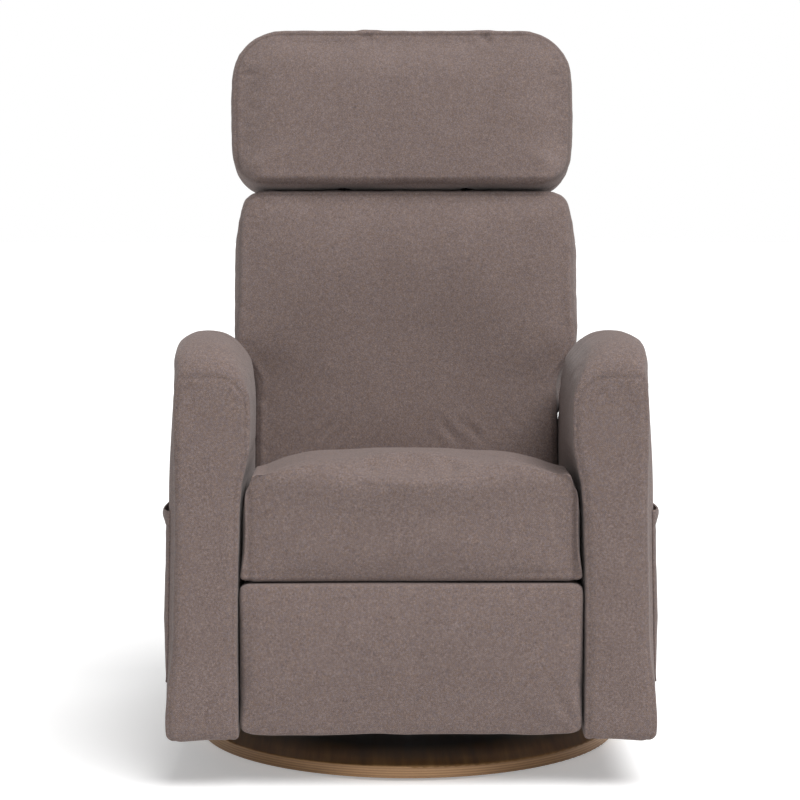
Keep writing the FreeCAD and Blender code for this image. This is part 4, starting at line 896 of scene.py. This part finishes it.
def make_footrest():
    """The footrest's pad, with a slightly gathered bottom edge."""
    half, low_edge, high_edge, corner = 0.240, 0.080, 0.291, 0.015
    piece = outer_skin("footrest_pad_cover", "footrest_pad")
    skin(piece, rounds=2, step=0.005)
    normals = normals_of(piece)
    draw_in(piece, 0.006, fall(normals[:, 1], -0.5, 0.4))
    held = (normals[:, 1] > 0.25) | (np.abs(normals[:, 2]) > 0.85)
    fill_with_air(piece, held, crown=0.008)
    refine(piece)
    low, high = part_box("footrest_pad")
    fit(piece, (low.x, low.y, low.z - 0.003), (high.x, high.y, high.z))
    points = points_of(piece)
    normals = normals_of(piece)
    x, y, z = points.T
    wide = edge_line(z, np.abs(x), y < -0.300, np.max)
    top_round, bottom_round = 0.008, 0.013
    side = 0.2403 - corner_inset(z.max() - z, top_round) - corner_inset(z - z.min(), bottom_round)
    x *= side / wide
    points += normals * (0.0010 * unevenness(points, 7.0))[:, None]
    move_points(piece, points)
    edge = border(x, z, half, low_edge, high_edge, corner, corner)
    rear = np.where(normals[:, 1] > 0.1, edge - 0.006, NO_SEAM)
    sew(piece, rear, seam_run(x, z), depth=0.0014, gather=0.0005, seam_shade_strength=0.3, seed=7.0)
    pull = ripple(x * 0.35, 8.0) * np.exp(-np.abs(z - low_edge) / 0.020) * fall(y, -0.34, 0.02)
    points = points_of(piece)
    points[:, 2] += 0.0012 * pull
    move_points(piece, points)
    return dress(piece, "footrest", ["footrest_pad"])


def arm_spread(y, z):
    """How far the arm's outside stands from a plain slab: fuller low down, drawn in to the front panel."""
    full = 0.0045 - 0.0015 * rise(z, 0.20, 0.20) - 0.0045 * rise(z, 0.42, 0.16)
    drawn = rise(z, 0.10, 0.12) * (1 - 0.65 * rise(z, 0.40, 0.15))
    return full - 0.0100 * drawn * fall(y, -0.335, 0.030)


def arm_crest(y):
    """Height of the arm's top line."""
    nose_length, nose_height, length, drop = 0.100, 0.047, 0.585, 0.292
    nose = np.clip((CREST_PLACE - y) / nose_length, 0, 1)
    back = np.clip((y - CREST_PLACE) / length, 0, 1)
    rounded = CREST_HEIGHT - nose_height + nose_height * np.sqrt(1 - nose ** 2)
    return np.where(y < CREST_PLACE, rounded, CREST_HEIGHT - drop * back ** 3.56)


def make_left_arm():
    """The left arm's cover, with a sewn front panel and a sewn band along its outside."""
    piece = outer_skin("arm_cover_left", "arm_pad_left")
    skin(piece, rounds=3)
    normals = normals_of(piece)
    draw_in(piece, 0.004, rise(np.abs(normals[:, 0]), 0.6, 0.3))
    x, y, z = points_of(piece).T
    held = (normals[:, 2] < -0.6) | (normals[:, 1] > 0.7)
    held |= (y < -0.358) & (normals[:, 1] > -0.85)
    held |= (np.abs(arm_crest(y) - z - BAND_DEPTH) < SEAM_HOLD_HALF) & (x > 0.30) & (y < 0.29)
    fill_with_air(piece, held, crown=0.0075)
    refine(piece)
    fit(piece, *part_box("arm_pad_left"))
    shape_arm(piece)
    x, y, z = points_of(piece).T
    # Distance in from the outline of the front panel, whose upper inner corner is round
    panel_top, turn, panel_front, inset = 0.586, 0.050, -0.3695, 0.0042
    near = y < -0.352
    outer = edge_line(z, x, near, np.max)
    inner = edge_line(np.minimum(z, 0.500), x, near, np.min)
    across, below = x - inner, panel_top - z
    rounded = turn - np.hypot(turn - across, turn - below)
    within = np.where((across < turn) & (below < turn), rounded, np.minimum(across, below))
    panel = np.minimum(outer - x, within) - (y - panel_front)
    sew(piece, np.where(y < -0.30, panel - inset, NO_SEAM), z + x,
        depth=0.0011, gather=0.0004, seam_shade_strength=0.16, seed=9.0)
    band = np.where((x > 0.305) & (y > -0.345) & (y < 0.300), arm_crest(y) - z - BAND_DEPTH, NO_SEAM)
    sew(piece, band, y, depth=0.0015, gather=0.0005, seam_shade_strength=0.25, seed=10.0)
    return dress(piece, "chair", ["arm_pad_left"])


def shape_arm(piece):
    """Spreads the arm's outside, fills its inside towards the seat, and rounds and sways its bottom hem."""
    points = points_of(piece)
    normals = normals_of(piece)
    x, y, z = points.T
    # The inside comes in to the seat in front, and lies flat beside the back
    front = edge_line(z, x, y < -0.340, np.min)
    shift = np.minimum(np.interp(z, ARM_LEVELS, ARM_LINES) - front, 0.0) * fall(z, 0.585, 0.05)
    inward = shift * fall(y, 0.02, 0.30) * fall(x, 0.292, 0.045)
    plain = (normals[:, 0] < -0.6) & (y > 0.03) & (z < arm_crest(y) - 0.070)
    flat_side = 0.2440
    level = np.where(plain, (flat_side - x) * 0.85 * rise(y, 0.03, 0.06), 0.0)
    spread = arm_spread(y, z) * rise(x, 0.28, 0.05)
    crest = 0.0065 * rise(z, 0.575, 0.045)
    # The bottom's corners are round, and its hem wanders up and down
    outer_round, inner_round, corner_height = 0.015, 0.009, 0.045
    corner = corner_inset(x.max() - x, outer_round) + corner_inset(x - x[z < 0.10].min(), inner_round)
    x += inward + level + spread + crest
    z += corner * np.clip(1 - (z - z.min()) / corner_height, 0.0, 1.0)
    sway = np.exp(-(z - ARM_FOOT) / 0.030)
    z += sway * (0.0020 * np.sin(math.tau * 3.1 * y + 0.6) - 0.003 * rise(x, 0.27, 0.06))
    points += normals * (0.0009 * unevenness(points, 9.0))[:, None]
    move_points(piece, points)


def make_right_arm(left):
    """The left arm's skin, mirrored."""
    shape = bmesh.new()
    shape.from_mesh(left.data)
    bmesh.ops.scale(shape, vec=(-1.0, 1.0, 1.0), verts=shape.verts)
    bmesh.ops.reverse_faces(shape, faces=shape.faces)
    return dress(made("arm_cover_right", shape), "chair", ["arm_pad_right"])


def make_pocket(side):
    """Cloth pocket on the outside of an arm: a panel that stands away at its mouth, with a sewn hem."""
    front, rear, low, high = -0.346, 0.060, 0.150, 0.392
    width, tall = rear - front, high - low
    cloth_thickness = 0.0022
    shape = bmesh.new()
    bmesh.ops.create_grid(shape, x_segments=84, y_segments=64, size=0.5)
    for vert in shape.verts:
        along, up = vert.co.x + 0.5, vert.co.y + 0.5
        rim = min(along, 1 - along) * width
        free = min(1.0, rim / 0.030) ** 0.5 * min(1.0, up * tall / 0.090)
        lip = math.exp(-(((1 - up) * tall - 0.006) / 0.011) ** 2)
        stand = 0.0012 + free * (0.0034 + 0.0046 * lip + 0.0016 * up)
        stand += 0.0010 * free * math.sin(15.0 * along + 5.0 * up)
        height = low + up * tall - 0.005 * up ** 4 * math.sin(math.pi * along)
        depth = front + along * width
        face = ARM_OUTSIDE - ARM_LEAN * (height - ARM_FOOT) + arm_spread(depth, height)
        vert.co = (face + stand, depth, height)
    bmesh.ops.recalc_face_normals(shape, faces=shape.faces)
    if sum(face.normal.x for face in shape.faces) < 0:
        bmesh.ops.reverse_faces(shape, faces=shape.faces)
    bmesh.ops.solidify(shape, geom=shape.faces[:], thickness=cloth_thickness)
    bmesh.ops.scale(shape, vec=(side, 1.0, 1.0), verts=shape.verts)
    bmesh.ops.recalc_face_normals(shape, faces=shape.faces)
    name = "left" if side > 0 else "right"
    piece = made("pocket_" + name, shape)
    x, y, z = points_of(piece).T
    stitch = {"depth": 0.0008, "gather": 0.0003, "seam_shade_strength": 0.3}
    hem, margin = 0.024, 0.007
    sew(piece, high - hem - z, y, seed=11.0, **stitch)
    edge = np.minimum(np.minimum(y - front, rear - y), z - low)
    sew(piece, edge - margin, y + z, seed=12.0, **stitch)
    dress(piece, "chair", ["side_pocket_" + name])
    return piece


def make_apron():
    """The cloth panel that closes the chair's rear, between the arms."""
    half, low_edge, high_edge, corner = 0.2432, 0.076, 0.316, 0.002
    piece = outer_skin("rear_apron_cover", "rear_apron")
    skin(piece, rounds=2)
    normals = normals_of(piece)
    held = (normals[:, 1] < 0.3) | (np.abs(normals[:, 2]) > 0.5)
    fill_with_air(piece, held, crown=0.005)
    refine(piece)
    fit(piece, *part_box("rear_apron"))
    x, y, z = points_of(piece).T
    edge = border(x, z, half, low_edge, high_edge, corner, corner)
    rear = np.where(normals_of(piece)[:, 1] > 0.1, edge - 0.006, NO_SEAM)
    sew(piece, rear, seam_run(x, z), depth=0.0014, gather=0.0005, seam_shade_strength=0.3, seed=13.0)
    return dress(piece, "chair", ["rear_apron"])


# Frame finishes

finishes = {
    "upholstery": heather_upholstery(),
    "plywood": birch_plywood(),
    "glide_nylon": moulded_nylon(),
    "race_steel": satin_metal("race_steel", (0.34, 0.34, 0.35), (0.48, 0.48, 0.50),
                              metallic=1.0, rough=0.26),
    "ball_steel": satin_metal("ball_steel", (0.60, 0.60, 0.61), (0.72, 0.72, 0.73),
                              metallic=1.0, rough=0.10),
    "black_steel": satin_metal("black_steel", (0.012, 0.012, 0.013), (0.026, 0.026, 0.027),
                               metallic=0.0, rough=0.40),
    "link_steel": satin_metal("link_steel", (0.030, 0.030, 0.032), (0.060, 0.060, 0.063),
                              metallic=0.7, rough=0.36),
    "spring_steel": satin_metal("spring_steel", (0.20, 0.20, 0.21), (0.34, 0.34, 0.35),
                                metallic=1.0, rough=0.30),
    "timber": pale_timber(),
    "webbing": elastic_webbing(),
}


def make_coils():
    """Rocking springs: each coil stands on the swivel plate, under the frame above it."""
    piece = made("rocker_coils", copy_of("rocker_springs"))
    piece.data.materials.clear()
    piece.data.materials.append(finishes["spring_steel"])
    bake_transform(piece)
    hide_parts("rocker_springs")
    return piece


def finish_frame():
    """Every solid that stays in view takes the finish of its slot."""
    slots = {row["node"]: row["material_slot"] for row in frame["record"]["subparts"]}
    for name, node in frame["nodes"].items():
        finish = finishes[slots[name]]
        for slot in node.material_slots:
            slot.material = finish
        if not node.material_slots:
            node.data.materials.append(finish)


set_camera()
set_light()
lay_floor()
finish_frame()
make_headrest()
make_back()
make_seat()
make_footrest()
left_arm = make_left_arm()
make_right_arm(left_arm)
make_pocket(1.0)
make_pocket(-1.0)
make_apron()
make_coils()
